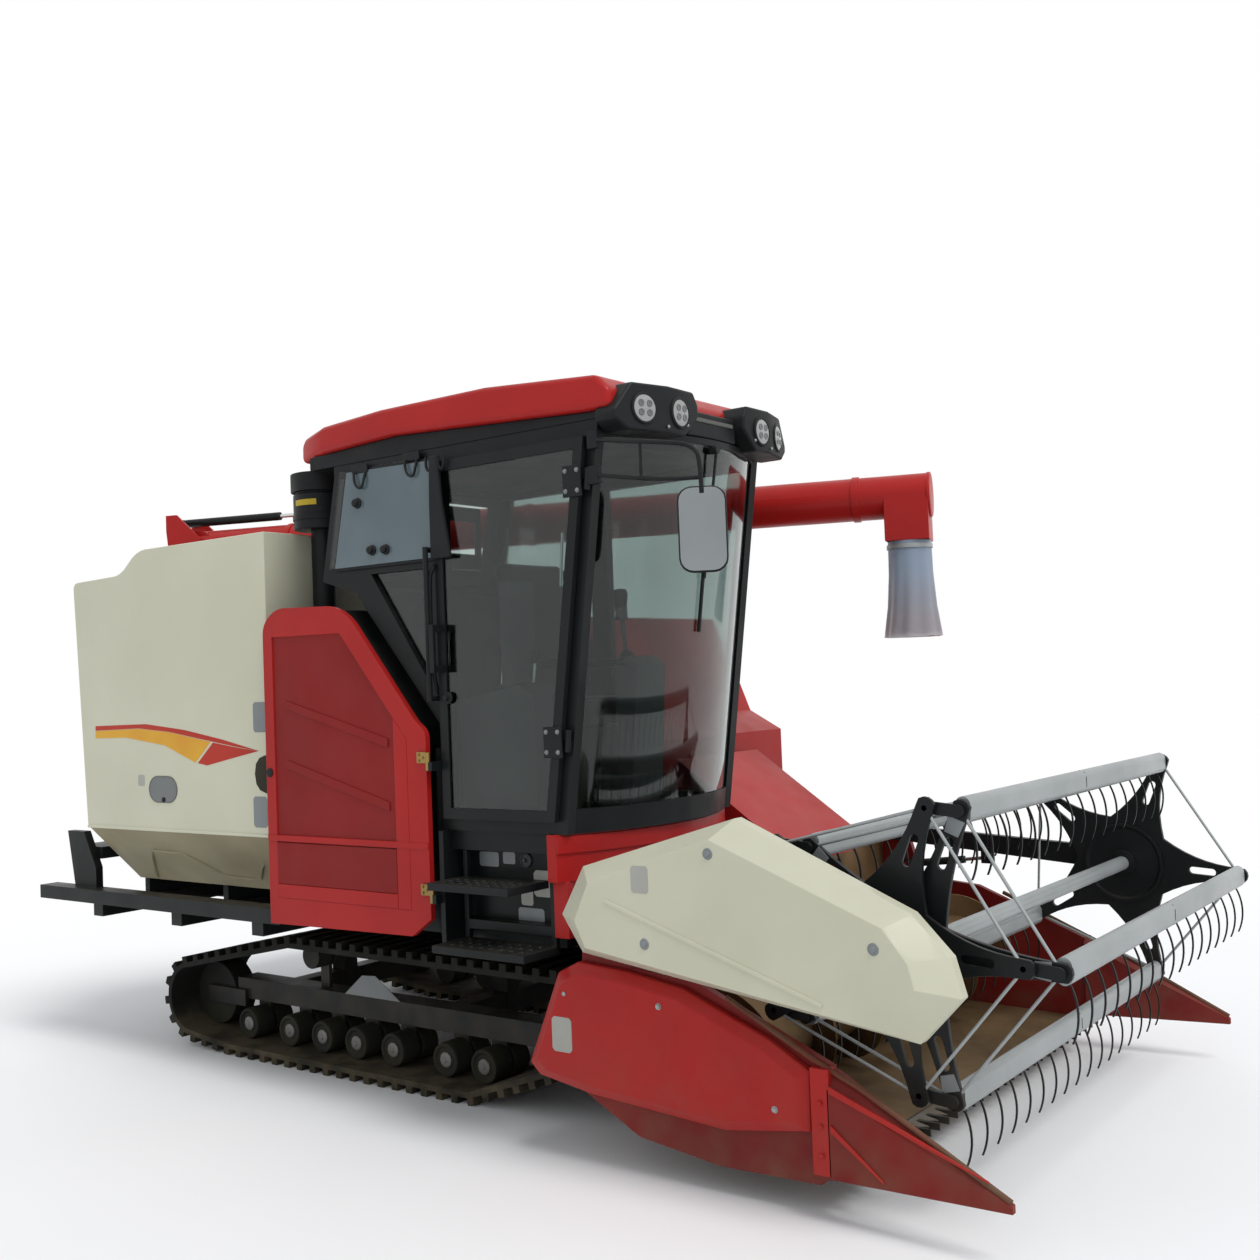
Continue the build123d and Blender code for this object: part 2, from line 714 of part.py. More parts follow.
save(mirror, "mirror")

# Red cover of the engine bay, hung on its front edge
cover_outline = [(-750, 745), (-750, 2050), (-655, 2114), (-226, 2100), (185, 1610), (238, 1573), (238, 832), (129, 757)]
with BuildPart() as engine_cover:
    side_outline(cover_outline, cover_right, cover_inner)
    side_outline([(-690, 860), (-690, 1990), (-250, 1985), (130, 1540), (130, 860)], cover_right, cover_right + 6,
                 Mode.SUBTRACT)
    for z in cover_hinge_z:
        with BuildSketch(Plane.XY.offset(z)):
            with Locations((cover_hinge_x, cover_hinge_y)):
                Circle(cover_knuckle)
            with Locations((cover_hinge_x - 22, cover_hinge_y + 1)):
                Rectangle(44, 6)
        extrude(amount=cover_knuckle_length)
        with BuildSketch(Plane.XY.offset(z)):
            with Locations((cover_hinge_x, cover_hinge_y)):
                Circle(cover_pin + running_gap)
        extrude(amount=cover_knuckle_length, mode=Mode.SUBTRACT)
save(engine_cover, "engine_cover")

# Header: feeder house, pan with its back wall, side plates, dividers and knife
mouth_right = feeder_right + feeder_wall
mouth_left = feeder_left - feeder_wall
with BuildPart() as feeder_house:
    side_outline([(545, 1375), (1060, 1010), (1060, back_top), (back_x, back_top), (back_x, 330), (570, 860),
                  (545, 1150)], feeder_right, feeder_left)
    side_outline([(530, 1330), (945, 1035), (945, 880), (990, mouth_high), (990, mouth_low), (965, mouth_low),
                  (530, 950)], mouth_right, mouth_left, Mode.SUBTRACT)
    for y in (header_cylinder_y - 32, header_cylinder_y + 22):
        side_outline([(775, 495), (825, 495), (850, 520), (850, 545), (775, 600)], y, y + 10)
    cross_rod(pivot_x, pivot_z, pivot_radius, feeder_right - ear_thickness - body_gap - 8,
              feeder_left + ear_thickness + body_gap + 8)
    side_outline([(545, 1195), (545, 1265), (600, 1265), (600, 1195)], feeder_right, mouth_right)
    side_outline([(545, 1195), (545, 1265), (600, 1265), (600, 1195)], mouth_left, feeder_left)
save(feeder_house, "feeder_house")

pan_right = header_right + side_thickness
pan_left = header_left - side_thickness
back_front = back_x + back_thickness
trough_low = auger_z - trough_radius
with BuildPart() as header_pan:
    with BuildSketch(Plane.XZ.offset(-pan_left)):
        with BuildLine():
            Polyline((back_x, back_top), (back_front, back_top), (back_front, trough_start),
                     (auger_x - trough_radius, auger_z))
            ThreePointArc((auger_x - trough_radius, auger_z),
                          (auger_x - trough_radius * cos(pi / 4), auger_z - trough_radius * sin(pi / 4)),
                          (auger_x, trough_low))
            Polyline((auger_x, trough_low), (knife_x, knife_z), (knife_x, knife_z - pan_thickness),
                     (auger_x, trough_low - pan_thickness), (1215, 185), (back_x, 320), (back_x, back_top))
        make_face()
    extrude(amount=pan_left - pan_right)
    box_between(back_x - 5, auger_x - trough_radius, mouth_right + 15, mouth_left - 15, mouth_sill, mouth_high,
                Mode.SUBTRACT)
save(header_pan, "header_pan")

side_shape = [(back_x, 260), (1212, 142), (1545, 100), (knife_x, 108), (divider_x, 147), (divider_x, 490), (1490, 700),
              (1200, 728), (1115, 1000), (1000, 1000), (back_x, 743)]
divider_width = 95.0
for label, y, outer, turn in (("header_side_right", header_right, header_right - 45, 1),
                              ("header_side_left", pan_left, header_left + 45, -1)):
    with BuildPart() as header_side:
        side_outline(side_shape, y, y + side_thickness)
        cross_rod(arm_pivot_x, arm_pivot_z, arm_pin + running_gap, y, y + side_thickness, Mode.SUBTRACT)
        cross_rod(auger_x, auger_z, auger_shaft + running_gap, y, y + side_thickness, Mode.SUBTRACT)
        if turn < 0:
            cross_rod(lift_foot[0], lift_foot[1], lift_pin, pan_left - 42, pan_left + 1)
        with BuildSketch(Plane.YZ.offset(divider_x)):
            with BuildLine():
                Polyline((outer, 150), (outer, 430), (outer + turn * 45, 490), (outer + turn * divider_width, 470),
                         (outer + turn * divider_width, 150), close=True)
            make_face()
        with BuildSketch(Plane.YZ.offset(divider_tip)):
            with BuildLine():
                Polyline((outer, 158), (outer, 178), (outer + turn * 10, 186), (outer + turn * 22, 182),
                         (outer + turn * 22, 158), close=True)
            make_face()
        loft(ruled=True)
    save(header_side, label)

guard_count = int((pan_left - pan_right - 20) / guard_pitch)
guard_first = (pan_left + pan_right) / 2 - (guard_count - 1) * guard_pitch / 2
with BuildPart() as cutter_bar:
    box_between(knife_x, knife_x + 45, pan_right, pan_left, knife_z - 12, knife_z + 10)
    for index in range(guard_count):
        y = guard_first + index * guard_pitch
        with BuildSketch(Plane.XY.offset(knife_z - 10)):
            with BuildLine():
                Polyline((knife_x + 40, y - 11), (knife_x + 40, y + 11), (knife_x + 125, y + 3),
                         (knife_x + 125, y - 3), close=True)
            make_face()
        extrude(amount=24)
save(cutter_bar, "cutter_bar")

drive_rim = [(736, 345), (888, 690), (980, 735), (1182, 722), (1439, 684), (1773, 555), (1922, 473), (1919, 282),
             (1584, 232), (1016, 269), (780, 305)]
drive_face = [(790, 380), (915, 655), (995, 695), (1180, 685), (1425, 650), (1755, 525), (1880, 450), (1875, 310),
              (1580, 270), (1030, 305), (830, 335)]
drive_right = header_right - 50.0
with BuildPart() as header_drive_cover:
    side_outline(drive_rim, header_right - 25, header_right)
    with BuildSketch(Plane.XZ.offset(-header_right + 25)):
        with BuildLine():
            Polyline(*drive_rim, close=True)
        make_face()
    with BuildSketch(Plane.XZ.offset(-drive_right)):
        with BuildLine():
            Polyline(*drive_face, close=True)
        make_face()
    loft(ruled=True)
save(header_drive_cover, "header_drive_cover")

with BuildPart() as header_auger:
    cross_rod(auger_x, auger_z, auger_core, pan_right + body_gap + 2, pan_left - body_gap - 2)
    cross_rod(auger_x, auger_z, auger_shaft, header_right + 2, header_left - 2)
    for index in range(12):
        turn = index * 60.0
        y = 200 + index * 46.0
        reach = auger_core + 85
        strut((auger_x, y, auger_z), (auger_x + reach * cos(radians(turn)), y, auger_z + reach * sin(radians(turn))), 8)
save(header_auger, "header_auger")

# Reel arms and the cover on the right one
arm_slope = (reel_z - arm_pivot_z) / (reel_x - arm_pivot_x)
reel_arm_y = (arm_right, arm_left - arm_thickness)


def arm_z(x):
    """Middle height of a reel arm at one X."""
    return arm_pivot_z + (x - arm_pivot_x) * arm_slope


arm_outline = [(arm_pivot_x - 55, arm_z(arm_pivot_x) - arm_half), (arm_pivot_x - 55, arm_z(arm_pivot_x) + arm_half),
               (reel_x + 55, arm_z(reel_x) + arm_half + 15), (reel_x + 55, arm_z(reel_x) - arm_half - 15)]
eye_gap = 6.0
lug_wall = 10.0
for label, y, reach in (("reel_arm_right", reel_arm_y[0], (header_right + 2, arm_right)),
                        ("reel_arm_left", reel_arm_y[1], (arm_left, header_left - 2))):
    with BuildPart() as reel_arm:
        side_outline(arm_outline, y, y + arm_thickness)
        cross_rod(reel_x, reel_z, axle_tube + running_gap, y, y + arm_thickness, Mode.SUBTRACT)
        cross_rod(arm_pivot_x, arm_pivot_z, arm_pin, reach[0], reach[1])
        if label == "reel_arm_left":
            for face in (y - 4, y + arm_thickness + 4 - lug_wall):
                box_between(lift_eye[0] - 25, lift_eye[0] + 25, face, face + lug_wall, lift_eye[1] - 25,
                            arm_z(lift_eye[0]) - 20)
        if label == "reel_arm_right":
            disc_left = y + arm_thickness + 42
            cross_rod(reel_x + crank_x, reel_z + crank_z, ring_inner - running_gap, y + arm_thickness, disc_left)
            cross_rod(reel_x, reel_z, axle_tube + 6, y + arm_thickness - 1, disc_left + 1, Mode.SUBTRACT)
            for x in (arm_pivot_x + 260, reel_x - 90):
                box_between(x - 30, x + 30, header_right - 5, y, arm_z(x) - 25, arm_z(x) + 25)
    save(reel_arm, label)

cover_rim = [(936, 907), (1041, 1084), (1692, 1273), (2312, 1003), (2430, 880), (2463, 762), (2323, 614), (1026, 777)]
cover_face = [(1065, 905), (1130, 1040), (1643, 1211), (2255, 970), (2335, 870), (2354, 795), (2244, 660), (1110, 815)]
reel_cover_inner = header_right - 5.0
reel_cover_rim = reel_cover_inner - 45.0
reel_cover_outer = -1295.0
with BuildPart() as reel_drive_cover:
    side_outline(cover_rim, reel_cover_rim, reel_cover_inner)
    with BuildSketch(Plane.XZ.offset(-reel_cover_rim)):
        with BuildLine():
            Polyline(*cover_rim, close=True)
        make_face()
    with BuildSketch(Plane.XZ.offset(-reel_cover_outer)):
        with BuildLine():
            Polyline(*cover_face, close=True)
        make_face()
    loft(ruled=True)
save(reel_drive_cover, "reel_drive_cover")

# Reel: the core with both spiders, the control ring, and one bar at each arm
bar_angles = [reel_phase + index * 360.0 / reel_bars for index in range(reel_bars)]
arm_tip = 32.0


def around(x, z, radius, angle):
    """A point at an angle about a centre in X and Z."""
    return x + radius * cos(radians(angle)), z + radius * sin(radians(angle))


def spider(x, z, hub, y_low, y_high, bore):
    """A star of flat arms with a bored eye at each tip."""
    cross_rod(x, z, hub, y_low, y_high)
    for angle in bar_angles:
        left_x, left_z = around(x, z, hub - 5, angle + 24)
        right_x, right_z = around(x, z, hub - 5, angle - 24)
        tip_x, tip_z = around(x, z, reel_radius, angle)
        side_x = 16 * cos(radians(angle + 90))
        side_z = 16 * sin(radians(angle + 90))
        side_outline([(left_x, left_z), (tip_x + side_x, tip_z + side_z), (tip_x - side_x, tip_z - side_z),
                      (right_x, right_z)], y_low, y_high)
        cross_rod(tip_x, tip_z, arm_tip, y_low, y_high)
    for angle in bar_angles:
        tip_x, tip_z = around(x, z, reel_radius, angle)
        cross_rod(tip_x, tip_z, bore, y_low - 1, y_high + 1, Mode.SUBTRACT)


spider_right_low = spider_right - spider_thickness
spider_left_high = spider_left + spider_thickness
with BuildPart() as reel_core:
    cross_rod(reel_x, reel_z, axle_tube, arm_right + 4, arm_left - 4)
    spider(reel_x, reel_z, 95, spider_right_low, spider_right, stub_radius + running_gap)
    spider(reel_x, reel_z, 170, spider_left, spider_left_high, stub_radius + running_gap)
save(reel_core, "reel_core")

crank_high = spider_right_low - body_gap
crank_low = crank_high - crank_thickness
ring_high = crank_low - body_gap
ring_low = ring_high - ring_thickness
with BuildPart() as reel_control_spider:
    spider(reel_x + crank_x, reel_z + crank_z, ring_outer, ring_low, ring_high, crank_pin + running_gap)
    cross_rod(reel_x + crank_x, reel_z + crank_z, ring_inner, ring_low - 1, ring_high + 1, Mode.SUBTRACT)
save(reel_control_spider, "reel_control_spider")

bar_right = spider_right + bar_gap
bar_left = spider_left - bar_gap
tine_first = (bar_right + bar_left) / 2 - (tine_count - 1) * tine_pitch / 2
for number, angle in enumerate(bar_angles, 1):
    bar_x, bar_z = around(reel_x, reel_z, reel_radius, angle)
    with BuildPart() as reel_bar:
        with BuildSketch(Plane.XZ.offset(-bar_left)):
            with Locations((bar_x, bar_z)):
                SlotOverall(bar_height, bar_width, rotation=90)
        extrude(amount=bar_left - bar_right)
        cross_rod(bar_x, bar_z, stub_radius, bar_left, spider_left_high)
        cross_rod(bar_x, bar_z, stub_radius, crank_low, bar_right)
        with BuildSketch(Plane.XZ.offset(-crank_high)):
            with Locations((bar_x, bar_z), (bar_x + crank_x, bar_z + crank_z)):
                Circle(20)
            make_hull()
        extrude(amount=crank_thickness)
        cross_rod(bar_x + crank_x, bar_z + crank_z, crank_pin, ring_low, crank_low)
        root_z = bar_z - bar_height / 2 + 3
        with BuildSketch(Plane.XZ.offset(-tine_first - tine_wire / 2)) as tine:
            with BuildLine():
                ThreePointArc((bar_x, root_z), (bar_x + 24, root_z - tine_drop / 2), (bar_x + 4, root_z - tine_drop))
                ThreePointArc((bar_x + 4 - tine_wire, root_z - tine_drop), (bar_x + 24 - tine_wire, root_z - tine_drop / 2),
                              (bar_x - tine_wire, root_z))
                Line((bar_x, root_z), (bar_x - tine_wire, root_z))
                Line((bar_x + 4, root_z - tine_drop), (bar_x + 4 - tine_wire, root_z - tine_drop))
            make_face()
        with Locations(*[(0, index * tine_pitch, 0) for index in range(tine_count)]):
            add(extrude(tine.sketch, amount=tine_wire, mode=Mode.PRIVATE))
    save(reel_bar, f"reel_bar_{number}")

# Unloading auger: collar on the tank, turning turret, lifting tube with its spout, and the sleeve
turn_cos = cos(radians(unloader_turn))
turn_sin = sin(radians(unloader_turn))
along_tube = Plane(origin=(unloader_x, unloader_y, 0), x_dir=(turn_cos, turn_sin, 0), z_dir=(turn_sin, -turn_cos, 0))
turret_top = 2415.0
cheek_inner = unloader_radius + cheek_gap


def tube_outline(points, low, high, mode=Mode.ADD):
    """Extrude an outline along and above the tube, between two distances across it."""
    with BuildSketch(along_tube.offset(low)) as outline:
        with BuildLine():
            Polyline(*points, close=True)
        make_face()
    extrude(outline.sketch, amount=high - low, mode=mode)


def tube_rod(place, radius, low, high, mode=Mode.ADD):
    """A round pin, or a bore, across the tube."""
    with BuildSketch(along_tube.offset(low)) as disc:
        with Locations(place):
            Circle(radius)
    extrude(disc.sketch, amount=high - low, mode=mode)


def upright(radius, low, high, mode=Mode.ADD):
    """A round column on the turret's axis."""
    with BuildSketch(Plane.XY.offset(low)) as disc:
        with Locations((unloader_x, unloader_y)):
            Circle(radius)
    extrude(disc.sketch, amount=high - low, mode=mode)


swing_gap = 0.4
trunnion = 22.0
turret_low = collar_top + swing_gap
with BuildPart() as unloader_turret:
    upright(turret_radius, turret_low, turret_top)
    for low in (cheek_inner, -cheek_inner - cheek_thickness):
        tube_outline([(-120, turret_low), (-150, unloader_z + 100), (-150, mast_eye[1] + 35), (-85, mast_eye[1] + 35),
                      (60, unloader_z + 50), (60, unloader_z - 50), (110, turret_low)], low, low + cheek_thickness)
        tube_rod((0, unloader_z), trunnion + running_gap, low, low + cheek_thickness, Mode.SUBTRACT)
    tube_outline([(-118, turret_low), (-118, turret_top), (105, turret_top), (105, turret_low)],
                 -cheek_inner, cheek_inner)
    tube_rod(mast_eye, lift_pin, -cheek_inner, cheek_inner)
save(unloader_turret, "unloader_turret")

spout_half = 112.0
with BuildPart() as unloader_tube:
    root = Vector(unloader_x, unloader_y, unloader_z) + Vector(turn_cos, turn_sin, 0) * 20
    with BuildSketch(Plane(origin=root, z_dir=(turn_cos, turn_sin, 0))):
        Circle(unloader_radius)
    extrude(amount=unloader_reach - spout_length / 2 - 20)
    tube_rod((20, unloader_z), unloader_radius - 3, -unloader_radius + 25, unloader_radius - 25)
    tube_rod((0, unloader_z), trunnion, -cheek_inner - cheek_thickness, cheek_inner + cheek_thickness)
    tube_outline([(unloader_reach - spout_length - 20, unloader_z + 60), (unloader_reach - 40, unloader_z + 115),
                  (unloader_reach, unloader_z + 100), (unloader_reach, spout_low),
                  (unloader_reach - spout_length, spout_low), (unloader_reach - spout_length, unloader_z - 60)],
                 -spout_half, spout_half)
    tube_outline([(unloader_reach - spout_length + 8, spout_low - 1), (unloader_reach - spout_length + 8, unloader_z - 60),
                  (unloader_reach - 8, unloader_z - 60), (unloader_reach - 8, spout_low - 1)],
                 -spout_half + 8, spout_half - 8, Mode.SUBTRACT)
    for low in (-unloader_rod - eye_gap - lug_wall, unloader_rod + eye_gap):
        tube_outline([(tube_eye[0] - 40, unloader_z + unloader_radius - 14), (tube_eye[0] - 20, tube_eye[1] + 22),
                      (tube_eye[0] + 20, tube_eye[1] + 22), (tube_eye[0] + 40, unloader_z + unloader_radius - 14)],
                     low, low + lug_wall)
save(unloader_tube, "unloader_tube")

sleeve_middle = Vector(unloader_x, unloader_y, 0) + Vector(turn_cos, turn_sin, 0) * (unloader_reach - spout_length / 2)
with BuildPart() as spout_sleeve:
    for radius, mode in ((sleeve_radius, Mode.ADD), (sleeve_radius - sleeve_wall, Mode.SUBTRACT)):
        with BuildSketch(Plane.XY.offset(spout_low)):
            with Locations((sleeve_middle.X, sleeve_middle.Y)):
                Circle(radius)
        with BuildSketch(Plane.XY.offset(sleeve_low)):
            with Locations((sleeve_middle.X, sleeve_middle.Y)):
                Circle(radius + 35)
        loft(mode=mode)
save(spout_sleeve, "spout_sleeve")


# Cylinders: each barrel turns on a pin at its foot, each rod ends in a free eye between two lugs
def cylinder_parts(base, foot, eye, barrel_radius, rod_radius, barrel_share, name, closing=0.0):
    """Write the barrel and the rod of one cylinder that lies in a plane and may close by a length."""
    start = base.from_local_coords((foot[0], foot[1], 0))
    run = base.from_local_coords((eye[0], eye[1], 0)) - start
    way = run.normalized()
    reach = run.length * barrel_share

    def eye_disc(place, radius, half, mode=Mode.ADD):
        """A disc, or a bore, across the cylinder's plane."""
        with BuildSketch(base.offset(-half)) as disc:
            with Locations(place):
                Circle(radius)
        extrude(disc.sketch, amount=2 * half, mode=mode)

    with BuildPart() as barrel:
        eye_disc(foot, lift_pin + 10, 8)
        with BuildSketch(Plane(origin=start + way * (lift_pin + 4), z_dir=way)):
            Circle(barrel_radius)
        extrude(amount=reach - lift_pin - 4)
        with BuildSketch(Plane(origin=start + way * (lift_pin + 30), z_dir=way)):
            Circle(rod_radius + running_gap)
        extrude(amount=reach, mode=Mode.SUBTRACT)
        eye_disc(foot, lift_pin + running_gap, barrel_radius + 1, Mode.SUBTRACT)
    save(barrel, f"{name}_barrel")
    with BuildPart() as rod:
        with BuildSketch(Plane(origin=start + way * (lift_pin + 40 + closing), z_dir=way)):
            Circle(rod_radius)
        extrude(amount=run.length - lift_pin - 40 - closing)
        eye_disc(eye, 20, 8)
        eye_disc(eye, 10, 9, Mode.SUBTRACT)
    save(rod, f"{name}_rod")


header_plane = Plane.XZ.offset(-header_cylinder_y)
reel_plane = Plane.XZ.offset(-reel_arm_y[1] - arm_thickness / 2)
cylinder_parts(header_plane, header_foot, header_eye, 28, 16, 0.62, "header_cylinder")
cylinder_parts(reel_plane, lift_foot, lift_eye, 18, 9, 0.72, "reel_cylinder")
cylinder_parts(along_tube, mast_eye, tube_eye, 22, unloader_rod, 0.62, "unloader_cylinder", unloader_closing)
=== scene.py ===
import json
from contextlib import contextmanager
from math import atan2, cos, hypot, pi, radians, sin

import bmesh
import bpy
from mathutils import Matrix, Vector

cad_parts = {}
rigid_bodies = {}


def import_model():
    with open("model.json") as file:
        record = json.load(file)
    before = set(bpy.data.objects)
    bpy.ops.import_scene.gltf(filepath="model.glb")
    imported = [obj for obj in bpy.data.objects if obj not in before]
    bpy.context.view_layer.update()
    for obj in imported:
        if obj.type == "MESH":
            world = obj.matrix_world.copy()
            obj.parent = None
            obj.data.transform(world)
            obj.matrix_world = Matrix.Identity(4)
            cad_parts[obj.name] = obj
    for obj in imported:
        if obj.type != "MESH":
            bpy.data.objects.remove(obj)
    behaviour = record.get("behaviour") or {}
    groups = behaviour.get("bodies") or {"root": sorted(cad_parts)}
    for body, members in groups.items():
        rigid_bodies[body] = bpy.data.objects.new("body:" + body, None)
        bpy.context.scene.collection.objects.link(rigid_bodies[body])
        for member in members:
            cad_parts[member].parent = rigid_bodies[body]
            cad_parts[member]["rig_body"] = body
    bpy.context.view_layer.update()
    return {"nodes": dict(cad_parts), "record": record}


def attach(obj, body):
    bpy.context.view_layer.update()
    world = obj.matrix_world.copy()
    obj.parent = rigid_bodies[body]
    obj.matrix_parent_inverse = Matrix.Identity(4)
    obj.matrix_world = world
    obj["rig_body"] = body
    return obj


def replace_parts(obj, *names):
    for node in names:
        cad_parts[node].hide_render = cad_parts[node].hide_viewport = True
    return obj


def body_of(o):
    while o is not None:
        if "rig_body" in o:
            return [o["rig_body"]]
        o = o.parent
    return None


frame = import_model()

# Metres, in the machine's own frame: X forward, Y to its left, Z up, the ground at Z = 0.


# ---- finishes
def start_finish(name):
    """A new material, with its shader and the place on the machine to read patterns from."""
    material = bpy.data.materials.new(name)
    material.use_nodes = True
    tree = material.node_tree
    return material, tree, tree.nodes["Principled BSDF"], tree.nodes.new("ShaderNodeTexCoord").outputs["Object"]


def put(tree, socket, value):
    """Set a socket to a number or a colour, or join it to another node's output."""
    if isinstance(value, bpy.types.NodeSocket):
        tree.links.new(value, socket)
    else:
        socket.default_value = (*value, 1.0) if isinstance(value, tuple) else value


def feed(tree, node, **values):
    """Fill a node's inputs by their names."""
    for name, value in values.items():
        put(tree, node.inputs[name.replace("_", " ")], value)
    return node


def new_node(tree, kind, **values):
    """A new node with its inputs filled."""
    return feed(tree, tree.nodes.new("ShaderNode" + kind), **values)


def spread(tree, value, start, stop, low=0.0, high=1.0):
    """A value's range from start to stop, spread from low to high."""
    return new_node(tree, "MapRange", Value=value, From_Min=start, From_Max=stop, To_Min=low,
                    To_Max=high).outputs["Result"]


def cloudy(tree, place, scale, low, high):
    """A cloudy pattern between two values."""
    noise = new_node(tree, "TexNoise", Scale=scale, Detail=5.0, Vector=place)
    return spread(tree, noise.outputs["Fac"], 0.35, 0.65, low, high)


def near_ground(tree, place, bottom, top):
    """1 at the bottom height, falling to 0 at the top one."""
    return spread(tree, new_node(tree, "SeparateXYZ", Vector=place).outputs["Z"], bottom, top, 1.0, 0.0)


def lies_flat(tree):
    """1 on faces that look up, 0 on walls."""
    normal = new_node(tree, "NewGeometry").outputs["Normal"]
    return spread(tree, new_node(tree, "SeparateXYZ", Vector=normal).outputs["Z"], 0.35, 0.95)


def combine(tree, operation, first, second):
    """One value from two, by a sum or a product."""
    node = tree.nodes.new("ShaderNodeMath")
    node.operation = operation
    node.use_clamp = True
    put(tree, node.inputs[0], first)
    put(tree, node.inputs[1], second)
    return node.outputs["Value"]


def blend_colours(tree, share, first, second):
    """A colour between two, by a share."""
    mix = tree.nodes.new("ShaderNodeMix")
    mix.data_type = "RGBA"
    return feed(tree, mix, Factor=share, A=first, B=second).outputs["Result"]


def bumpy(tree, shader, height, strength, depth):
    """Unevenness of a surface, from a pattern of heights."""
    bump = new_node(tree, "Bump", Strength=strength, Distance=depth, Height=height)
    feed(tree, shader, Normal=bump.outputs["Normal"])


def painted(name, colour, shade, low=0.28, high=0.42, coat=0.05, metallic=0.0, dust=0.5, dust_top=1.3,
            grain=420.0, depth=0.0002, tone=(0.17, 0.135, 0.085)):
    """Paint with faded patches, a little orange peel, and dust low down and on what lies flat."""
    material, tree, shader, place = start_finish(name)
    body = blend_colours(tree, cloudy(tree, place, 1.7, 0.0, 1.0), colour, shade)
    low_down = combine(tree, "MULTIPLY", near_ground(tree, place, 0.1, dust_top),
                       cloudy(tree, place, 7.0, 0.1, 1.0))
    on_top = combine(tree, "MULTIPLY", lies_flat(tree), cloudy(tree, place, 11.0, 0.05, 0.5))
    dusty = combine(tree, "MULTIPLY", combine(tree, "ADD", low_down, on_top), dust)
    dull = combine(tree, "MULTIPLY", dusty, 0.6)
    feed(tree, shader, Base_Color=blend_colours(tree, dusty, body, tone), Coat_Weight=coat, Coat_Roughness=0.12,
         Roughness=combine(tree, "ADD", cloudy(tree, place, 5.0, low, high), dull), Specular_IOR_Level=0.16,
         Metallic=metallic)
    peel = new_node(tree, "TexNoise", Scale=grain, Detail=3.0, Vector=place)
    bumpy(tree, shader, peel.outputs["Fac"], 0.5, depth)
    return material


def moulded(name, colour, shade, rough=0.55, grain=900.0, depth=0.0004, dust=0.35, dust_top=1.2):
    """Grained plastic or rubber with dust in it."""
    return painted(name, colour, shade, rough - 0.08, rough + 0.12, 0.0, 0.0, dust, dust_top, grain, depth)


def clear_glass(name, tint):
    """Tinted glass that light goes through."""
    material, tree, shader, place = start_finish(name)
    dim = tuple(c * 0.88 for c in tint)
    feed(tree, shader, Base_Color=blend_colours(tree, cloudy(tree, place, 2.5, 0.0, 1.0), tint, dim),
         Roughness=cloudy(tree, place, 3.0, 0.02, 0.06), Transmission_Weight=1.0, IOR=1.45)
    return material


def hanging_sheet(name, above, below, low, high):
    """Milky plastic sheet that light half goes through, in one tone above and another below."""
    material, tree, shader, place = start_finish(name)
    feed(tree, shader, Base_Color=blend_colours(tree, near_ground(tree, place, low, high), above, below),
         Roughness=cloudy(tree, place, 9.0, 0.28, 0.42), Transmission_Weight=0.35, Specular_IOR_Level=0.3)
    return material


def woven(name, colour, shade, thread=2600.0 / 6.0):
    """Cloth with a fine weave, in the piece's own place."""
    material, tree, shader, place = start_finish(name)
    feed(tree, shader, Base_Color=blend_colours(tree, cloudy(tree, place, 14.0, 0.0, 1.0), colour, shade),
         Roughness=0.85, Sheen_Weight=0.25)
    heights = []
    for axis in ("X", "Y"):
        wave = new_node(tree, "TexWave", Scale=thread, Vector=place)
        wave.bands_direction = axis
        heights.append(wave.outputs["Fac"])
    bumpy(tree, shader, combine(tree, "MULTIPLY", *heights), 0.2, 0.0004)
    return material


red = painted("red_enamel", (0.40, 0.015, 0.013), (0.34, 0.012, 0.011), dust=0.14, dust_top=0.8)
# A darker red for the header's sides: painted shade of their recessed, shaded panels.
shaded_side_red = painted("shaded_side_red", (0.20, 0.010, 0.009), (0.145, 0.009, 0.008), 0.4, 0.6, dust=0.3, dust_top=0.6)
# A darker red for the engine cover's recessed mesh panels: painted shade of the shaded right side and its recess.
shaded_cover_red = painted("cover_panel_shaded_red", (0.235, 0.013, 0.012), (0.20, 0.012, 0.011), 0.45, 0.6, 0.0,
                    dust=0.12, dust_top=0.9, grain=520.0, depth=0.0009)
cream = painted("cream_enamel", (0.58, 0.575, 0.445), (0.54, 0.535, 0.41), 0.3, 0.45, dust=0.12, dust_top=1.1)
# Darker cream for the trough under the tank: painted shade of its down-facing faces, with more dust.
shaded_dusty_cream = painted("shaded_dusty_cream", (0.31, 0.28, 0.18), (0.25, 0.22, 0.14), 0.5, 0.7, dust=0.3, dust_top=1.1)
black = painted("black_enamel", (0.007, 0.0085, 0.009), (0.010, 0.012, 0.013), 0.34, 0.5, dust=0.2, dust_top=0.8)
silver = painted("silver_paint", (0.36, 0.38, 0.38), (0.29, 0.31, 0.31), 0.3, 0.45, 0.1, 0.3, 0.12, 0.5)
iron = painted("roller_iron", (0.014, 0.016, 0.015), (0.026, 0.025, 0.019), 0.5, 0.7, 0.0, 0.2, 0.5, 0.35,
               tone=(0.06, 0.053, 0.03))
cap_metal = painted("cap_metal", (0.22, 0.22, 0.22), (0.15, 0.15, 0.145), 0.4, 0.6, 0.0, 0.6, 0.3, 0.4)
rubber = moulded("track_rubber", (0.009, 0.010, 0.0085), (0.016, 0.016, 0.0125), 0.75, 260.0, 0.0012, 0.5, 0.22)
worn = painted("worn_steel", (0.26, 0.165, 0.08), (0.10, 0.062, 0.033), 0.35, 0.6, 0.0, 0.7, 0.4, 0.6, 160.0, 0.0006)
chrome = painted("polished_rod", (0.68, 0.69, 0.71), (0.58, 0.59, 0.61), 0.08, 0.2, 0.0, 1.0, 0.05)
plastic = moulded("black_plastic", (0.010, 0.011, 0.012), (0.014, 0.015, 0.016), 0.45, dust=0.15)
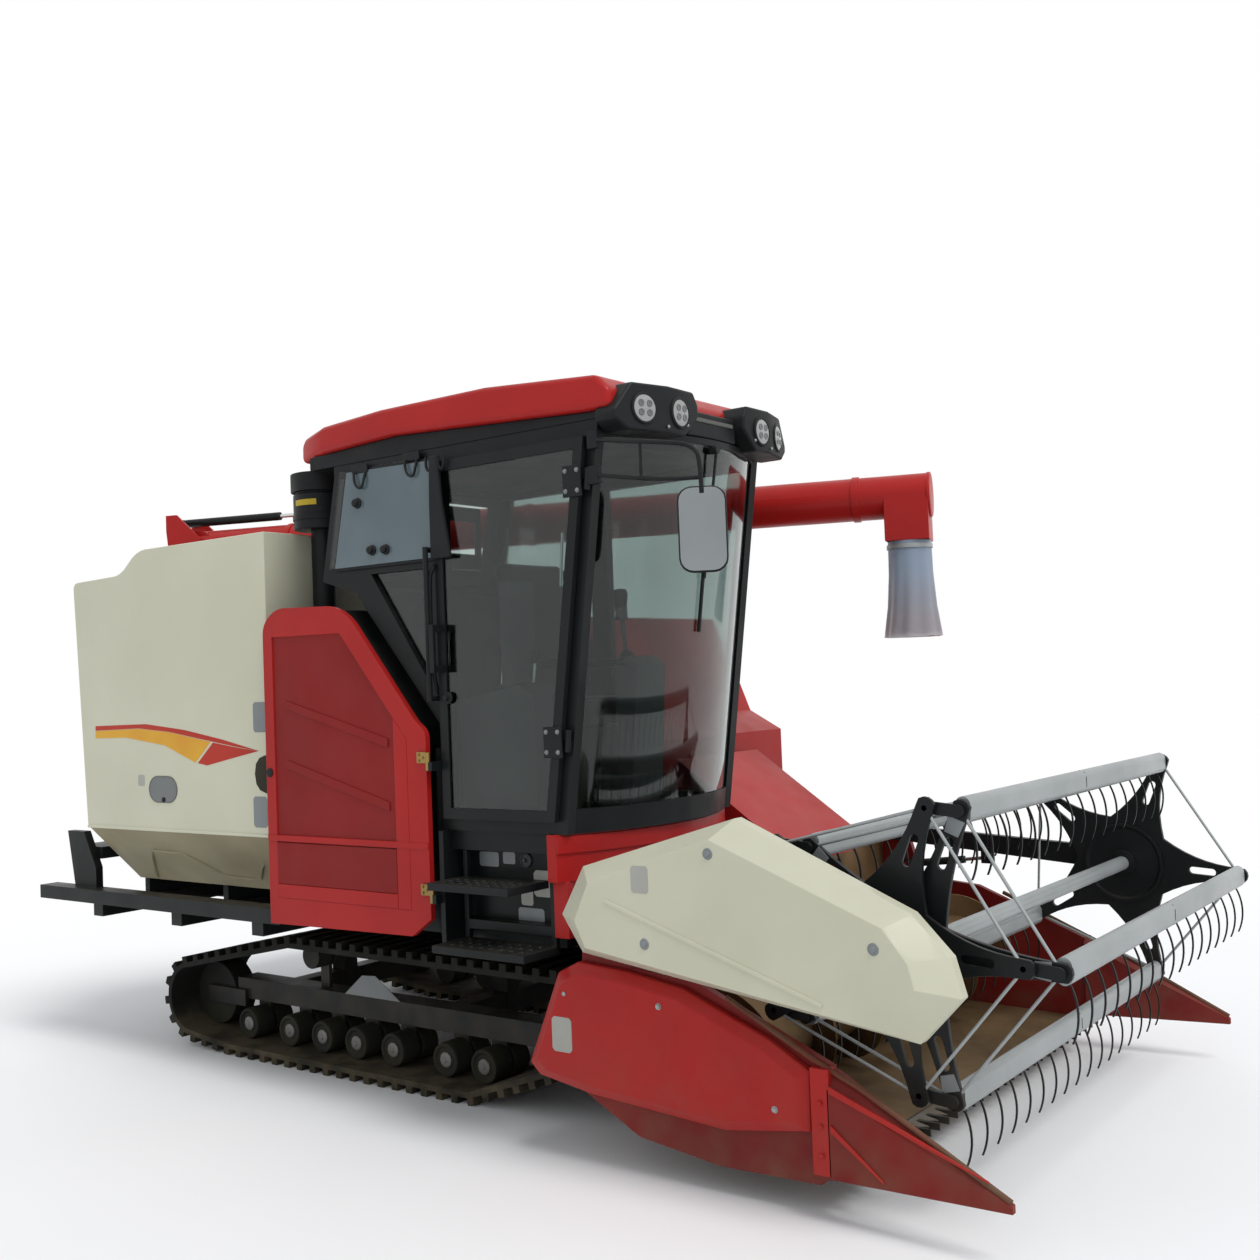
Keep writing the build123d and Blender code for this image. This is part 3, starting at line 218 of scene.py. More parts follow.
grey_plastic = moulded("grey_plastic", (0.085, 0.09, 0.095), (0.065, 0.07, 0.074), 0.5, dust=0.1)
glass = clear_glass("cab_glass", (0.43, 0.51, 0.49))
cloth = woven("seat_cloth", (0.022, 0.022, 0.024), (0.032, 0.032, 0.035))
sleeve_sheet = hanging_sheet("sleeve_sheet", (0.30, 0.37, 0.47), (0.34, 0.31, 0.33), 1.95, 2.22)
trim_grey = moulded("cab_trim", (0.075, 0.09, 0.094), (0.06, 0.075, 0.08), 0.5, dust=0.05)
reflector = painted("lamp_reflector", (0.40, 0.41, 0.40), (0.27, 0.28, 0.27), 0.12, 0.25, 0.3, 0.3, 0.0,
                    grain=130.0, depth=0.003)
# The rear side pane is opaque: its dark blue-grey is the glass's tint with painted shade of the cab behind it.
tinted_and_shaded_glass = painted("rear_pane_tint_and_shade", (0.115, 0.155, 0.17), (0.085, 0.12, 0.135), 0.04, 0.1, 0.4, dust=0.08)
mirror_silver = painted("mirror_silver", (0.27, 0.29, 0.30), (0.22, 0.24, 0.25), 0.02, 0.05, 0.0, 1.0, 0.0, depth=0.0)
stripe_red = painted("stripe_red", (0.44, 0.03, 0.014), (0.36, 0.02, 0.012), dust=0.12)
stripe_yellow = painted("stripe_yellow", (0.68, 0.36, 0.03), (0.56, 0.15, 0.02), dust=0.12)
plate_grey = painted("plate_grey", (0.24, 0.26, 0.265), (0.19, 0.205, 0.21), 0.35, 0.5, 0.1, 0.2, 0.2)
plate_pale = painted("plate_pale", (0.40, 0.40, 0.36), (0.34, 0.34, 0.31), 0.35, 0.5, dust=0.2)
band_yellow = painted("band_yellow", (0.50, 0.36, 0.03), (0.42, 0.30, 0.03), 0.35, 0.5, dust=0.2)
window_grey = painted("sight_glass", (0.14, 0.15, 0.15), (0.11, 0.12, 0.12), 0.1, 0.25, 0.5, dust=0.2)
rim_grey = moulded("rim_grey", (0.13, 0.13, 0.12), (0.10, 0.10, 0.09), 0.5)
# A dark brown for a thin sheet over the latch's recess: painted shadow of the recess.
painted_recess_shadow = moulded("painted_recess_shadow", (0.028, 0.026, 0.019), (0.040, 0.036, 0.027), 0.8)
brass = painted("brass_plating", (0.34, 0.23, 0.08), (0.24, 0.16, 0.06), 0.25, 0.45, 0.0, 0.9, 0.2)
red_worn = painted("worn_red_edge", (0.16, 0.035, 0.022), (0.075, 0.042, 0.026), 0.5, 0.75, 0.0, 0.1, 0.6, 1.2,
                   160.0, 0.0008)
knife_steel = painted("knife_steel", (0.22, 0.21, 0.20), (0.13, 0.11, 0.09), 0.3, 0.5, 0.0, 0.9, 0.4)
lamp_red = painted("tail_lamp", (0.36, 0.010, 0.009), (0.30, 0.008, 0.007), 0.06, 0.14, 0.6, dust=0.1)

slot_finish = {
    "red_paint": red, "cream_paint": cream, "black_paint": black, "track_rubber": rubber, "wheel_iron": iron,
    "silver_tube": silver, "worn_steel": worn, "rod_chrome": chrome, "cab_glass": glass, "lamp_lens": reflector,
    "black_plastic": plastic, "grey_plastic": grey_plastic, "seat_fabric": cloth, "sleeve_pvc": sleeve_sheet,
}
slot_of = {part["node"]: part["material_slot"] for part in frame["record"]["subparts"]}
for node, slot in slot_of.items():
    frame["nodes"][node].data.materials.clear()
    frame["nodes"][node].data.materials.append(slot_finish[slot])


# ---- workshop
def alone(piece):
    """Put one piece in hand and let go of all others."""
    bpy.ops.object.select_all(action="DESELECT")
    piece.select_set(True)
    bpy.context.view_layer.objects.active = piece


@contextmanager
def editing(piece):
    """Edit mode on one piece, with all of it selected."""
    alone(piece)
    bpy.ops.object.mode_set(mode="EDIT")
    bpy.ops.mesh.select_mode(type="VERT")
    bpy.ops.mesh.select_all(action="SELECT")
    yield
    bpy.ops.object.mode_set(mode="OBJECT")


def named(name):
    """The piece just made, under its own name."""
    piece = bpy.context.object
    piece.name = piece.data.name = name
    return piece


def modified(piece, kind, **settings):
    """Put a modifier on a piece, set it and apply it."""
    alone(piece)
    modifier = piece.modifiers.new(kind, kind)
    for name, value in settings.items():
        setattr(modifier, name, value)
    bpy.ops.object.modifier_apply(modifier=kind)


def pick_faces(piece, test):
    """In edit mode, select the faces whose middle and normal pass a test."""
    bpy.ops.mesh.select_mode(type="FACE")
    bpy.ops.mesh.select_all(action="DESELECT")
    shape = bmesh.from_edit_mesh(piece.data)
    for face in shape.faces:
        face.select_set(test(face.calc_center_median(), face.normal))
    bmesh.update_edit_mesh(piece.data)


def close_up(piece):
    """Merge doubles and turn all faces outwards."""
    with editing(piece):
        bpy.ops.mesh.remove_doubles(threshold=0.00002)
        bpy.ops.mesh.normals_make_consistent(inside=False)
    return piece


def cut_off(piece, place, way):
    """Cut away what lies beyond a plane, and close the cut."""
    with editing(piece):
        bpy.ops.mesh.bisect(plane_co=place, plane_no=way, use_fill=True, clear_outer=True)


def eased(piece, width, segments=2, limit=28.0):
    """Ease the edges, shade them smooth, and keep the flats flat."""
    alone(piece)
    if width:
        modified(piece, "BEVEL", width=width, segments=segments, limit_method="ANGLE", angle_limit=radians(limit))
    bpy.ops.object.shade_smooth_by_angle(angle=radians(38.0))
    modified(piece, "WEIGHTED_NORMAL", keep_sharp=True)
    return piece


def settle(piece, slot, finish=None, body="chassis"):
    """Give a finished piece its paint and the body that carries it."""
    piece.data.materials.clear()
    piece.data.materials.append(finish or slot_finish[slot])
    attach(piece, body)
    return piece


def add(piece, slot, width=0.0, segments=2, finish=None, body="chassis"):
    """Ease a new piece and settle it."""
    return settle(eased(piece, width, segments), slot, finish, body)


def moved_origin(piece):
    """Leave the piece where it is, with its origin at the machine's own."""
    alone(piece)
    bpy.ops.object.transform_apply(location=True, rotation=True, scale=True)


@contextmanager
def line_from(name, place):
    """Edit mode on a new piece that is one point so far."""
    bpy.ops.object.select_all(action="DESELECT")
    bpy.ops.mesh.primitive_plane_add(size=0.01, location=place)
    piece = named(name)
    with editing(piece):
        bpy.ops.mesh.merge(type="CENTER")
        yield piece


def drawn(name, corners, push):
    """A closed outline, drawn corner by corner and pushed to its thickness."""
    with line_from(name, corners[0]) as piece:
        for start, end in zip(corners, corners[1:]):
            step = Vector(end) - Vector(start)
            bpy.ops.mesh.extrude_vertices_move(TRANSFORM_OT_translate={"value": step})
        bpy.ops.mesh.select_all(action="SELECT")
        bpy.ops.mesh.edge_face_add()
        bpy.ops.mesh.extrude_region_move(TRANSFORM_OT_translate={"value": Vector(push)})
    moved_origin(piece)
    return close_up(piece)


def side_piece(name, outline, y, thickness):
    """An outline in X and Z, pushed from Y towards the machine's right."""
    return drawn(name, [(x, y, z) for x, z in outline], (0.0, -thickness, 0.0))


def block(name, low, high):
    """A squared block between two corners."""
    (x, y, z), (far_x, far_y, far_z) = low, high
    return drawn(name, [(x, y, z), (far_x, y, z), (far_x, far_y, z), (x, far_y, z)], (0.0, 0.0, far_z - z))


def placed(piece, foot, way):
    """Stand a piece that was made round the upright axis on its foot, along its way."""
    piece.rotation_euler = Vector(way).to_track_quat("Z", "Y").to_euler()
    piece.location = foot
    moved_origin(piece)
    return piece


def spin_round(steps):
    """In edit mode, spin the line that was drawn round the upright axis."""
    bpy.ops.mesh.select_all(action="SELECT")
    bpy.ops.mesh.spin(steps=steps, angle=2 * pi, center=(0.0, 0.0, 0.0), axis=(0.0, 0.0, 1.0))


def turned(name, profile, foot, way, steps=32):
    """A profile of radius and height, spun round an axis that starts at its foot."""
    piece = drawn(name, [(radius, 0.0, height) for radius, height in profile], (0.0, 0.0, 0.0))
    with editing(piece):
        bpy.ops.mesh.delete(type="ONLY_FACE")
        spin_round(steps)
    return placed(close_up(piece), foot, way)


def rod(name, start, end, radius, sides=16):
    """A round bar with its rims eased."""
    run = Vector(end) - Vector(start)
    bpy.ops.object.select_all(action="DESELECT")
    bpy.ops.mesh.primitive_cylinder_add(vertices=sides, radius=radius, depth=run.length)
    piece = named(name)
    with editing(piece):
        pick_faces(piece, lambda middle, normal: abs(normal.z) > 0.9)
        bpy.ops.mesh.bevel(offset=radius * 0.18, segments=2, affect="EDGES")
    return placed(piece, (Vector(start) + Vector(end)) / 2, run)


def wire(name, points, radius, order=3):
    """A bent round bar along a smooth line."""
    line = bpy.data.curves.new(name, "CURVE")
    line.dimensions = "3D"
    line.bevel_depth = radius
    line.bevel_resolution = 3
    line.use_fill_caps = True
    spline = line.splines.new("NURBS")
    spline.points.add(len(points) - 1)
    for knot, point in zip(spline.points, points):
        knot.co = (*point, 1.0)
    spline.order_u = order
    spline.use_endpoint_u = True
    spline.resolution_u = 8
    piece = bpy.data.objects.new(name, line)
    bpy.context.scene.collection.objects.link(piece)
    alone(piece)
    bpy.ops.object.convert(target="MESH")
    return close_up(piece)


def joined(name, pieces):
    """Several pieces made one."""
    alone(pieces[0])
    for piece in pieces:
        piece.select_set(True)
    bpy.ops.object.join()
    return named(name)


def copy_of(node, name):
    """The CAD node's shape as a clean mesh of its own."""
    piece = bpy.data.objects.new(name, frame["nodes"][node].data.copy())
    bpy.context.scene.collection.objects.link(piece)
    alone(piece)
    bpy.ops.mesh.customdata_custom_splitnormals_clear()
    with editing(piece):
        bpy.ops.mesh.remove_doubles(threshold=0.00002)
        bpy.ops.mesh.dissolve_limited(angle_limit=radians(0.8))
    return piece


def rounded(piece, corners):
    """Round the corners that run across the machine, each by its own reach."""
    with editing(piece):
        bpy.ops.mesh.select_mode(type="EDGE")
        for (x, z), reach in corners:
            bpy.ops.mesh.select_all(action="DESELECT")
            shape = bmesh.from_edit_mesh(piece.data)
            for edge in shape.edges:
                start, end = (point.co for point in edge.verts)
                near = all(hypot(point.x - x, point.z - z) < 0.006 for point in (start, end))
                if near and abs(start.y - end.y) > 0.01:
                    edge.select_set(True)
            bmesh.update_edit_mesh(piece.data)
            bpy.ops.mesh.bevel(offset=reach, segments=4, affect="EDGES")


def second_finish(piece, finish, test):
    """Another paint on the faces that pass a test."""
    piece.data.materials.append(finish)
    piece.active_material_index = 1
    with editing(piece):
        pick_faces(piece, test)
        bpy.ops.object.material_slot_assign()


def cut_out(piece, cutters):
    """Take other shapes out of a piece, and put them away."""
    cutter = joined("cutter", cutters)
    modified(piece, "BOOLEAN", operation="DIFFERENCE", solver="EXACT", object=cutter)
    bpy.data.objects.remove(cutter)
    return close_up(piece)


# ---- the machine's own plates, edges eased
RIGHT = (0.0, -1.0, 0.0)
LEFT = (0.0, 1.0, 0.0)
UP = (0.0, 0.0, 1.0)
FRONT = (1.0, 0.0, 0.0)
REAR = (-1.0, 0.0, 0.0)

# The edge's width, its segments, and the nodes that get it.
eased_nodes = (
    (0.026, 3, "cab_roof"), (0.012, 3, "grain_tank cab_controls"), (0.010, 2, "engine_housing seat_base"),
    (0.009, 2, "threshing_body engine_cover"), (0.008, 2, "cab_base drive_gearbox engine_block"),
    (0.007, 2, "nose_panel"),
    (0.006, 2, "straw_hood air_cleaner cab_frame door_frame feeder_house header_side_right header_side_left"),
    (0.005, 2, "chassis_frame track_posts track_beams track_wheels_left track_wheels_right"),
    (0.005, 1, "track_left track_right"), (0.004, 2, "steps reel_arm_right reel_arm_left unloader_turret"),
    (0.004, 1, "cab_rear_wall"), (0.003, 2, "side_rail unloader_cylinder_barrel header_cylinder_barrel"),
    (0.003, 1, "header_pan"), (0.002, 2, "reel_cylinder_barrel"), (0.002, 1, "header_cylinder_rod"),
    (0.0015, 1, "unloader_cylinder_rod"), (0.001, 1, "reel_cylinder_rod"), (0.020, 4, "header_drive_cover"),
    (0.030, 5, "reel_drive_cover"),
    (0.0, 1, "cutter_bar header_auger reel_bar_1 reel_bar_2 reel_bar_3 reel_bar_4 reel_bar_5"),
)
cover_face, guard_face = -1.1685, 1.2095
screen_lean = 0.1435
# The header's sides take the darker red with painted shade.
own_finish = {"cab_rear_wall": trim_grey, "header_side_right": shaded_side_red, "header_side_left": shaded_side_red}
round_corners = {"engine_cover": (((-0.75, 2.05), 0.045), ((-0.655, 2.114), 0.045), ((-0.226, 2.1), 0.1),
    ((0.185, 1.61), 0.03), ((0.238, 1.573), 0.028)), "grain_tank": (((-1.73, 2.465), 0.06), ((-1.88, 2.355), 0.05),
    ((-2.294, 2.345), 0.035))}

for width, segments, nodes in eased_nodes:
    for node in nodes.split():
        piece = copy_of(node, f"{node}_eased")
        rounded(piece, round_corners.get(node, ()))
        add(piece, slot_of[node], width, segments, finish=own_finish.get(node),
            body=body_of(frame["nodes"][node])[0])
        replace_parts(piece, node)
# The cover's right-facing panel faces take the darker red of painted shade; its rim keeps the lighter red.
second_finish(bpy.data.objects["engine_cover_eased"], shaded_cover_red,
    lambda middle, normal: cover_face - 0.001 < middle.y < cover_face and normal.y < -0.9)
# The tank's faces low down that don't face up take the darker cream of painted shade and dust.
second_finish(bpy.data.objects["grain_tank_eased"], shaded_dusty_cream,
    lambda middle, normal: middle.z < 1.119 and normal.z < 0.2)

# ---- reel spiders, shaft and control ring
reel_x, reel_z = 2.215, 0.855
reel_reach = 0.475
arm_turns = [radians(68.0 + index * 72.0) for index in range(5)]


def on_arm(centre, turn, places):
    """Places along and across an arm, turned about a centre in X and Z."""
    return [(centre[0] + away * cos(turn) - half * sin(turn), centre[1] + away * sin(turn) + half * cos(turn))
        for away, half in places]


def round_place(x, z, radius, ways):
    """Places on a circle in X and Z, at these angles."""
    return [(x + radius * cos(radians(way)), z + radius * sin(radians(way))) for way in ways]


def star(name, body, centre, valley, y_high, thickness, ring=0.0):
    """Five slotted arms that flare into each other, tied tip to tip."""
    root_away, root_half = valley * cos(radians(36.0)), valley * sin(radians(36.0))
    flank = [(root_away + (reel_reach - root_away) * step / 7, 0.03 + (root_half - 0.03) * (1.0 - step / 7) ** 2.2)
        for step in range(8)]
    arm = [(away, -half) for away, half in flank[1:]]
    arm += round_place(reel_reach, 0.0, 0.036, (-52, -26, 0, 26, 52)) + flank[::-1]
    slot = [place for away, first in ((0.37, -90), (0.29, 90)) for place in round_place(away, 0.0, 0.015,
        range(first, first + 181, 30))]
    outline, holes, tips = [], [], []
    for turn in arm_turns:
        outline += on_arm(centre, turn, arm)
        holes.append(side_piece("slot", on_arm(centre, turn, slot), y_high + 0.01, thickness + 0.02))
        x, z = on_arm(centre, turn, [(reel_reach, 0)])[0]
        tips.append(Vector((x, y_high - thickness / 2, z)))
    if ring:
        holes.append(side_piece("ring_hole", round_place(*centre, ring, range(0, 360, 10)), y_high + 0.01,
            thickness + 0.02))
    ties = [rod("tie", start.lerp(end, 0.06), start.lerp(end, 0.94), 0.0055)
        for start, end in zip(tips, tips[1:] + tips[:1])]
    add(joined(f"{name}_ties", ties), "silver_tube", body=body)
    return eased(cut_out(side_piece(f"{name}_plate", outline, y_high, thickness), holes), 0.003)


right_star = star("right_star", "reel", (reel_x, reel_z), 0.135, -0.984, 0.02)
left_star = star("left_star", "reel", (reel_x, reel_z), 0.205, 1.14, 0.02)
dish = turned("left_dish", [(0, 0), (0.17, 0), (0.17, 0.014), (0.158, 0.014), (0.15, 0.004), (0.055, 0.004),
    (0.052, 0.028), (0, 0.028)], (reel_x, 1.121, reel_z), RIGHT, 48)
flange = turned("right_flange", [(0, 0), (0.092, 0), (0.088, 0.01), (0.05, 0.012), (0.046, 0.024), (0, 0.024)],
    (reel_x, -0.985, reel_z), LEFT, 40)
for piece in (dish, flange):
    eased(piece, 0.0015)
spiders = joined("reel_spiders", [right_star, left_star, dish, flange])
settle(spiders, "black_paint", body="reel")
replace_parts(spiders, "reel_core")
add(rod("reel_shaft", (reel_x, -1.106, reel_z), (reel_x, 1.201, reel_z), 0.03, 40), "silver_tube", body="reel")
control_ring = star("control_ring", "control_spider", (reel_x - 0.1, reel_z + 0.01), 0.2, -1.028, 0.016, 0.15)
settle(control_ring, "black_paint", body="control_spider")
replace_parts(control_ring, "reel_control_spider")


# ---- auger flights
def flight(name, start_y, way, turns):
    """A ribbon wound round the auger's core from one place across the header."""
    with line_from(name, (0.148, 0, 0)) as piece:
        bpy.ops.mesh.extrude_vertices_move(TRANSFORM_OT_translate={"value": (0.102, 0, 0)})
    moved_origin(piece)
    modified(piece, "SCREW", angle=2 * pi, screw_offset=0.4, iterations=turns, steps=40, render_steps=40)
    modified(piece, "SOLIDIFY", thickness=0.006, offset=0.0)
    return close_up(placed(piece, (1.4, start_y, 0.42), way))


add(joined("auger_flights", [flight("right_flight", -1.112, LEFT, 3), flight("left_flight", 1.202, RIGHT, 1)]),
    "worn_steel", 0.001, 1, body="header_auger")

# ---- unloading tube, straight to its end, and the spout box
tube_turn = radians(19.4)
turn_cos, turn_sin = cos(tube_turn), sin(tube_turn)
tube_way = Vector((turn_cos, turn_sin, 0))
spout_low = 2.33


def along(distance, across=0.0, height=2.54):
    """A place by its distance along the unloading tube and across it."""
    return Vector((-2.15 + turn_cos * distance - turn_sin * across, -0.45 + turn_sin * distance + turn_cos * across,
        height))


tube = copy_of("unloader_tube", "unloading_tube")
cut_off(tube, along(3.55), tube_way)
tube_end = turned("tube_end", [(0, 0), (0.1, 0), (0.1, 0.33), (0.104, 0.332), (0.104, 0.346), (0.098, 0.349),
    (0, 0.351)], along(3.54), tube_way, 64)
spout_box = drawn("spout_box", [along(3.678, -0.1, spout_low), along(3.878, -0.1, spout_low),
    along(3.878, 0.1, spout_low), along(3.678, 0.1, spout_low)], (0, 0, 0.21))
with editing(spout_box):
    pick_faces(spout_box, lambda middle, normal: normal.z < -0.9)
    bpy.ops.mesh.inset(thickness=0.008, depth=0.0)
    bpy.ops.mesh.extrude_region_move(TRANSFORM_OT_translate={"value": (0, 0, 0.15)})
close_up(spout_box)
for piece in (tube, tube_end, spout_box):
    eased(piece, 0.004)
tube = joined("unloading_tube", [tube, tube_end, spout_box])
settle(tube, "red_paint", body="unloader")
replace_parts(tube, "unloader_tube")

# ---- pressed shapes of the cover, the nose and the left side
# The low mesh strip takes the darker red of painted shade.
for name, outline, finish in (("cover_front_strip", [(0.055, 0.86), (0.13, 0.86), (0.13, 1.54), (0.055, 1.628)],
        red), ("cover_low_strip", [(-0.69, 0.86), (0.054, 0.86), (0.054, 0.92), (-0.69, 0.92)], red),
        ("cover_low_mesh", [(-0.69, 0.921), (0.054, 0.921), (0.054, 1.1), (-0.69, 1.1)], shaded_cover_red)):
    add(side_piece(name, outline, cover_face, 0.0082), "red_paint", 0.004, finish=finish, body="engine_cover")
# The ribs take the darker red of painted shade.
for count, (rear_z, front_z) in enumerate(((1.693, 1.525), (1.436, 1.268))):
    add(side_piece(f"cover_rib_{count}", [(-0.61, rear_z - 0.018), (0.02, front_z - 0.018), (0.02, front_z + 0.018),
        (-0.61, rear_z + 0.018)], cover_face, 0.007), "red_paint", 0.0062, 3, finish=shaded_cover_red, body="engine_cover")


def nose_arc(reach):
    """The nose's round front, seen from above and moved forwards by a reach."""
    return round_place(-0.0814, -0.5525, 1.0864 + reach, (-31.4 + 62.8 * step / 20 for step in range(21)))


lip = nose_arc(0.009) + nose_arc(-0.012)[::-1]
add(drawn("nose_lip", [(x, y, 1.105) for x, y in lip], (0, 0, 0.066)), "red_paint", 0.005)
for label, outer, turn in (("right", -1.155, -1), ("left", 1.245, 1)):
    low_y, high_y = sorted((outer + turn * 0.045, outer - turn * 0.004))
    add(block(f"divider_post_{label}", (1.93, low_y, 0.155), (1.998, high_y, 0.492)), "red_paint", 0.004,
        body="header")
for count, (x_low, x_high, z_low, z_high) in enumerate(((-2.13, -1.23, 1.625, 1.985), (-1.18, -0.23, 1.625, 1.985),
        (-1.9, -1.05, 0.78, 0.9), (-1, -0.06, 0.78, 0.9))):
    add(block(f"left_panel_{count}", (x_low, 1.149, z_low), (x_high, 1.155, z_high)), "red_paint", 0.003)
for count, (x, z) in enumerate(((-1.75, 1.25), (-0.85, 1.35), (-0.15, 1.15))):
    add(turned(f"guard_dish_{count}", [(0, 0), (0.16, 0), (0.15, 0.006), (0.06, 0.006), (0.05, 0.016), (0, 0.018)],
        (x, guard_face, z), LEFT, 40), "red_paint", 0.002)


# ---- small hardware
def bolt(place, way, size):
    """A hexagon head on its washer."""
    washer = turned("washer", [(0, 0), (size * 1.3, 0), (size * 1.3, size * 0.15), (0, size * 0.25)], place, way,
        16)
    head = turned("bolt_head", [(0, 0), (size, 0), (size, size * 0.6), (size * 0.8, size * 0.8), (0, size * 0.8)],
        Vector(place) + Vector(way).normalized() * size * 0.15, way, 6)
    return joined("bolt", [washer, head])


def bolts(name, places, way, size, slot, finish=None, body="chassis"):
    """A set of bolts in one face."""
    return add(joined(name, [bolt(place, way, size) for place in places]), slot, finish=finish, body=body)


def label_plate(name, low, high, y, finish, body="chassis"):
    """A blank plate with cut corners on a side face."""
    (x, z), (far_x, far_z) = low, high
    cut = 0.12 * min(far_x - x, far_z - z)
    outline = [(x + cut, z), (far_x - cut, z), (far_x, z + cut), (far_x, far_z - cut), (far_x - cut, far_z),
        (x + cut, far_z), (x, far_z - cut), (x, z + cut)]
    slot = "red_paint" if body == "header" else "cream_paint"
    return add(side_piece(name, outline, y, 0.0012), slot, finish=finish, body=body)


# ---- roof visor, lamp pods and lamps
pods = (-1.145, 1), (0.055, -1)
pod_low, pod_high, pod_wide, pod_front, lamp_z = 2.645, 2.822, 0.44, 1.285, 2.728
pod_cuts = (((0, 2.715), (0.08, pod_high)), ((0.41, pod_high), (pod_wide, 2.775)), ((pod_wide, 2.725),
    (0.35, pod_low)), ((0.06, pod_low), (0, 2.685)))
visor = copy_of("roof_visor", "roof_visor_band")
cut_off(visor, (1.1895, 0, 0), FRONT)
eased(visor, 0.006)
pieces, lamps, dots = [visor], [], []
for count, (outer, turn) in enumerate(pods):
    plan = [(1.12, outer), (1.215, outer), (pod_front, outer + turn * 0.245), (pod_front, outer + turn * pod_wide),
        (1.12, outer + turn * pod_wide)]
    pod = drawn("pod", [(x, y, pod_low) for x, y in plan], (0, 0, pod_high - pod_low))
    for (start_y, start_z), (end_y, end_z) in pod_cuts:
        cut_off(pod, (0, outer + turn * start_y, start_z), (0, turn * (start_z - end_z), end_y - start_y))
    close_up(pod)
    pieces.append(eased(pod, 0.012, 3, 20.0))
    yaw = atan2(0.07, 0.245)
    faces = (((1.251, outer + turn * 0.1325, lamp_z), (cos(yaw), -turn * sin(yaw), 0)),
        ((pod_front, outer + turn * 0.31, lamp_z), FRONT))
    for face, (place, way) in enumerate(faces):
        add(turned(f"lamp_bezel_{count}_{face}", [(0.05, 0), (0.06, 0), (0.059, 0.006), (0.056, 0.009),
            (0.05, 0.009)], place, way), "black_plastic", 0.001)
        across = Vector(way).cross(Vector(UP)).normalized()
        for column, row in ((-1, -1), (-1, 1), (1, -1), (1, 1)):
            dots.append(turned("lamp_dot", [(0, 0), (0.0135, 0), (0.012, 0.003), (0.006, 0.001), (0, 0.001)],
                Vector(place) + across * 0.019 * column + Vector(UP) * 0.017 * row + Vector(way) * 0.0105, way, 20))
        lamps.append(turned("lamp_glass", [(0, 0), (0.0515, 0), (0.0515, 0.006), (0.04, 0.01), (0.022, 0.011),
            (0, 0.011)], place, way))
bridge = eased(block("visor_bridge", (1.15, -0.715, 2.668), (1.238, -0.375, 2.768)), 0.01, 3)
visor = joined("roof_visor_and_pods", [*pieces, bridge])
settle(visor, "black_plastic")
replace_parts(visor, "roof_visor")
lamps = add(joined("lamp_glasses", lamps), "lamp_lens")
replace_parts(lamps, "work_lamps")
add(joined("lamp_dots", dots), "lamp_lens", finish=window_grey)
add(block("visor_strip", (1.234, -0.69, 2.728), (1.243, -0.4, 2.744)), "black_plastic", 0.003, finish=rim_grey)
bolts("pod_screws", [(1.2862, outer + turn * away, z) for outer, turn in pods
    for away, z in ((0.235, 2.668), (0.36, 2.688))], FRONT, 0.005, "silver_tube")

# ---- cab outside
pane = [(-0.322, 2.262), (0.262, 2.262), (0.254, 2.652), (-0.232, 2.662)]
add(side_piece("rear_pane_rubber", [(-0.335, 2.25), (0.275, 2.25), (0.266, 2.664), (-0.242, 2.674)], -1.112, 0.006),
    "black_plastic", 0.002)
# An opaque pane in the tinted colour, with painted shade of the cab behind it.
add(side_piece("rear_pane_glass", pane, -1.1185, 0.0045), "cab_glass", 0.001, finish=tinted_and_shaded_glass)
for count, (x, z) in enumerate(((-0.147, 2.655), (0.159, 2.668))):
    add(wire(f"pane_clip_{count}", [(x - 0.03, -1.1175, z + 0.02), (x - 0.03, -1.135, z),
        (x - 0.02, -1.135, z - 0.06), (x + 0.02, -1.135, z - 0.075), (x + 0.035, -1.135, z - 0.03),
        (x + 0.035, -1.1175, z + 0.02)], 0.0055), "black_paint")
    add(block(f"pane_clip_foot_{count}", (x - 0.045, -1.13, z - 0.005), (x + 0.05, -1.118, z + 0.03)),
        "black_paint", 0.004)
for count, (x, z) in enumerate(((-0.166, 2.525), (-0.086, 2.321), (-0.005, 2.317))):
    add(turned(f"pane_knob_{count}", [(0, 0), (0.022, 0), (0.022, 0.006), (0.015, 0.01), (0.017, 0.02),
        (0.012, 0.026), (0, 0.027)], (x, -1.123, z), RIGHT, 20), "black_plastic", 0.001)
post = [(0.285, 2.25), (0.392, 2.25), (0.352, 2.47), (0.335, 2.66), (0.292, 2.66), (0.285, 2.47)]
add(side_piece("tapered_post", post, -1.1425, 0.02), "black_plastic", 0.007, 3)
for count, x in enumerate((0.281, 0.348)):
    add(wire(f"post_ring_{count}", [(x - 0.012, -1.15, 2.66), (x - 0.018, -1.15, 2.61), (x + 0.018, -1.15, 2.6),
        (x + 0.02, -1.15, 2.655)], 0.006), "black_plastic")
add(wire("cab_grab_rail", [(0.262, -1.112, 1.72), (0.262, -1.15, 1.74), (0.262, -1.15, 2.15), (0.268, -1.15, 2.205),
    (0.3, -1.15, 2.225), (0.262, -1.112, 2.226)], 0.01, 4), "black_paint")

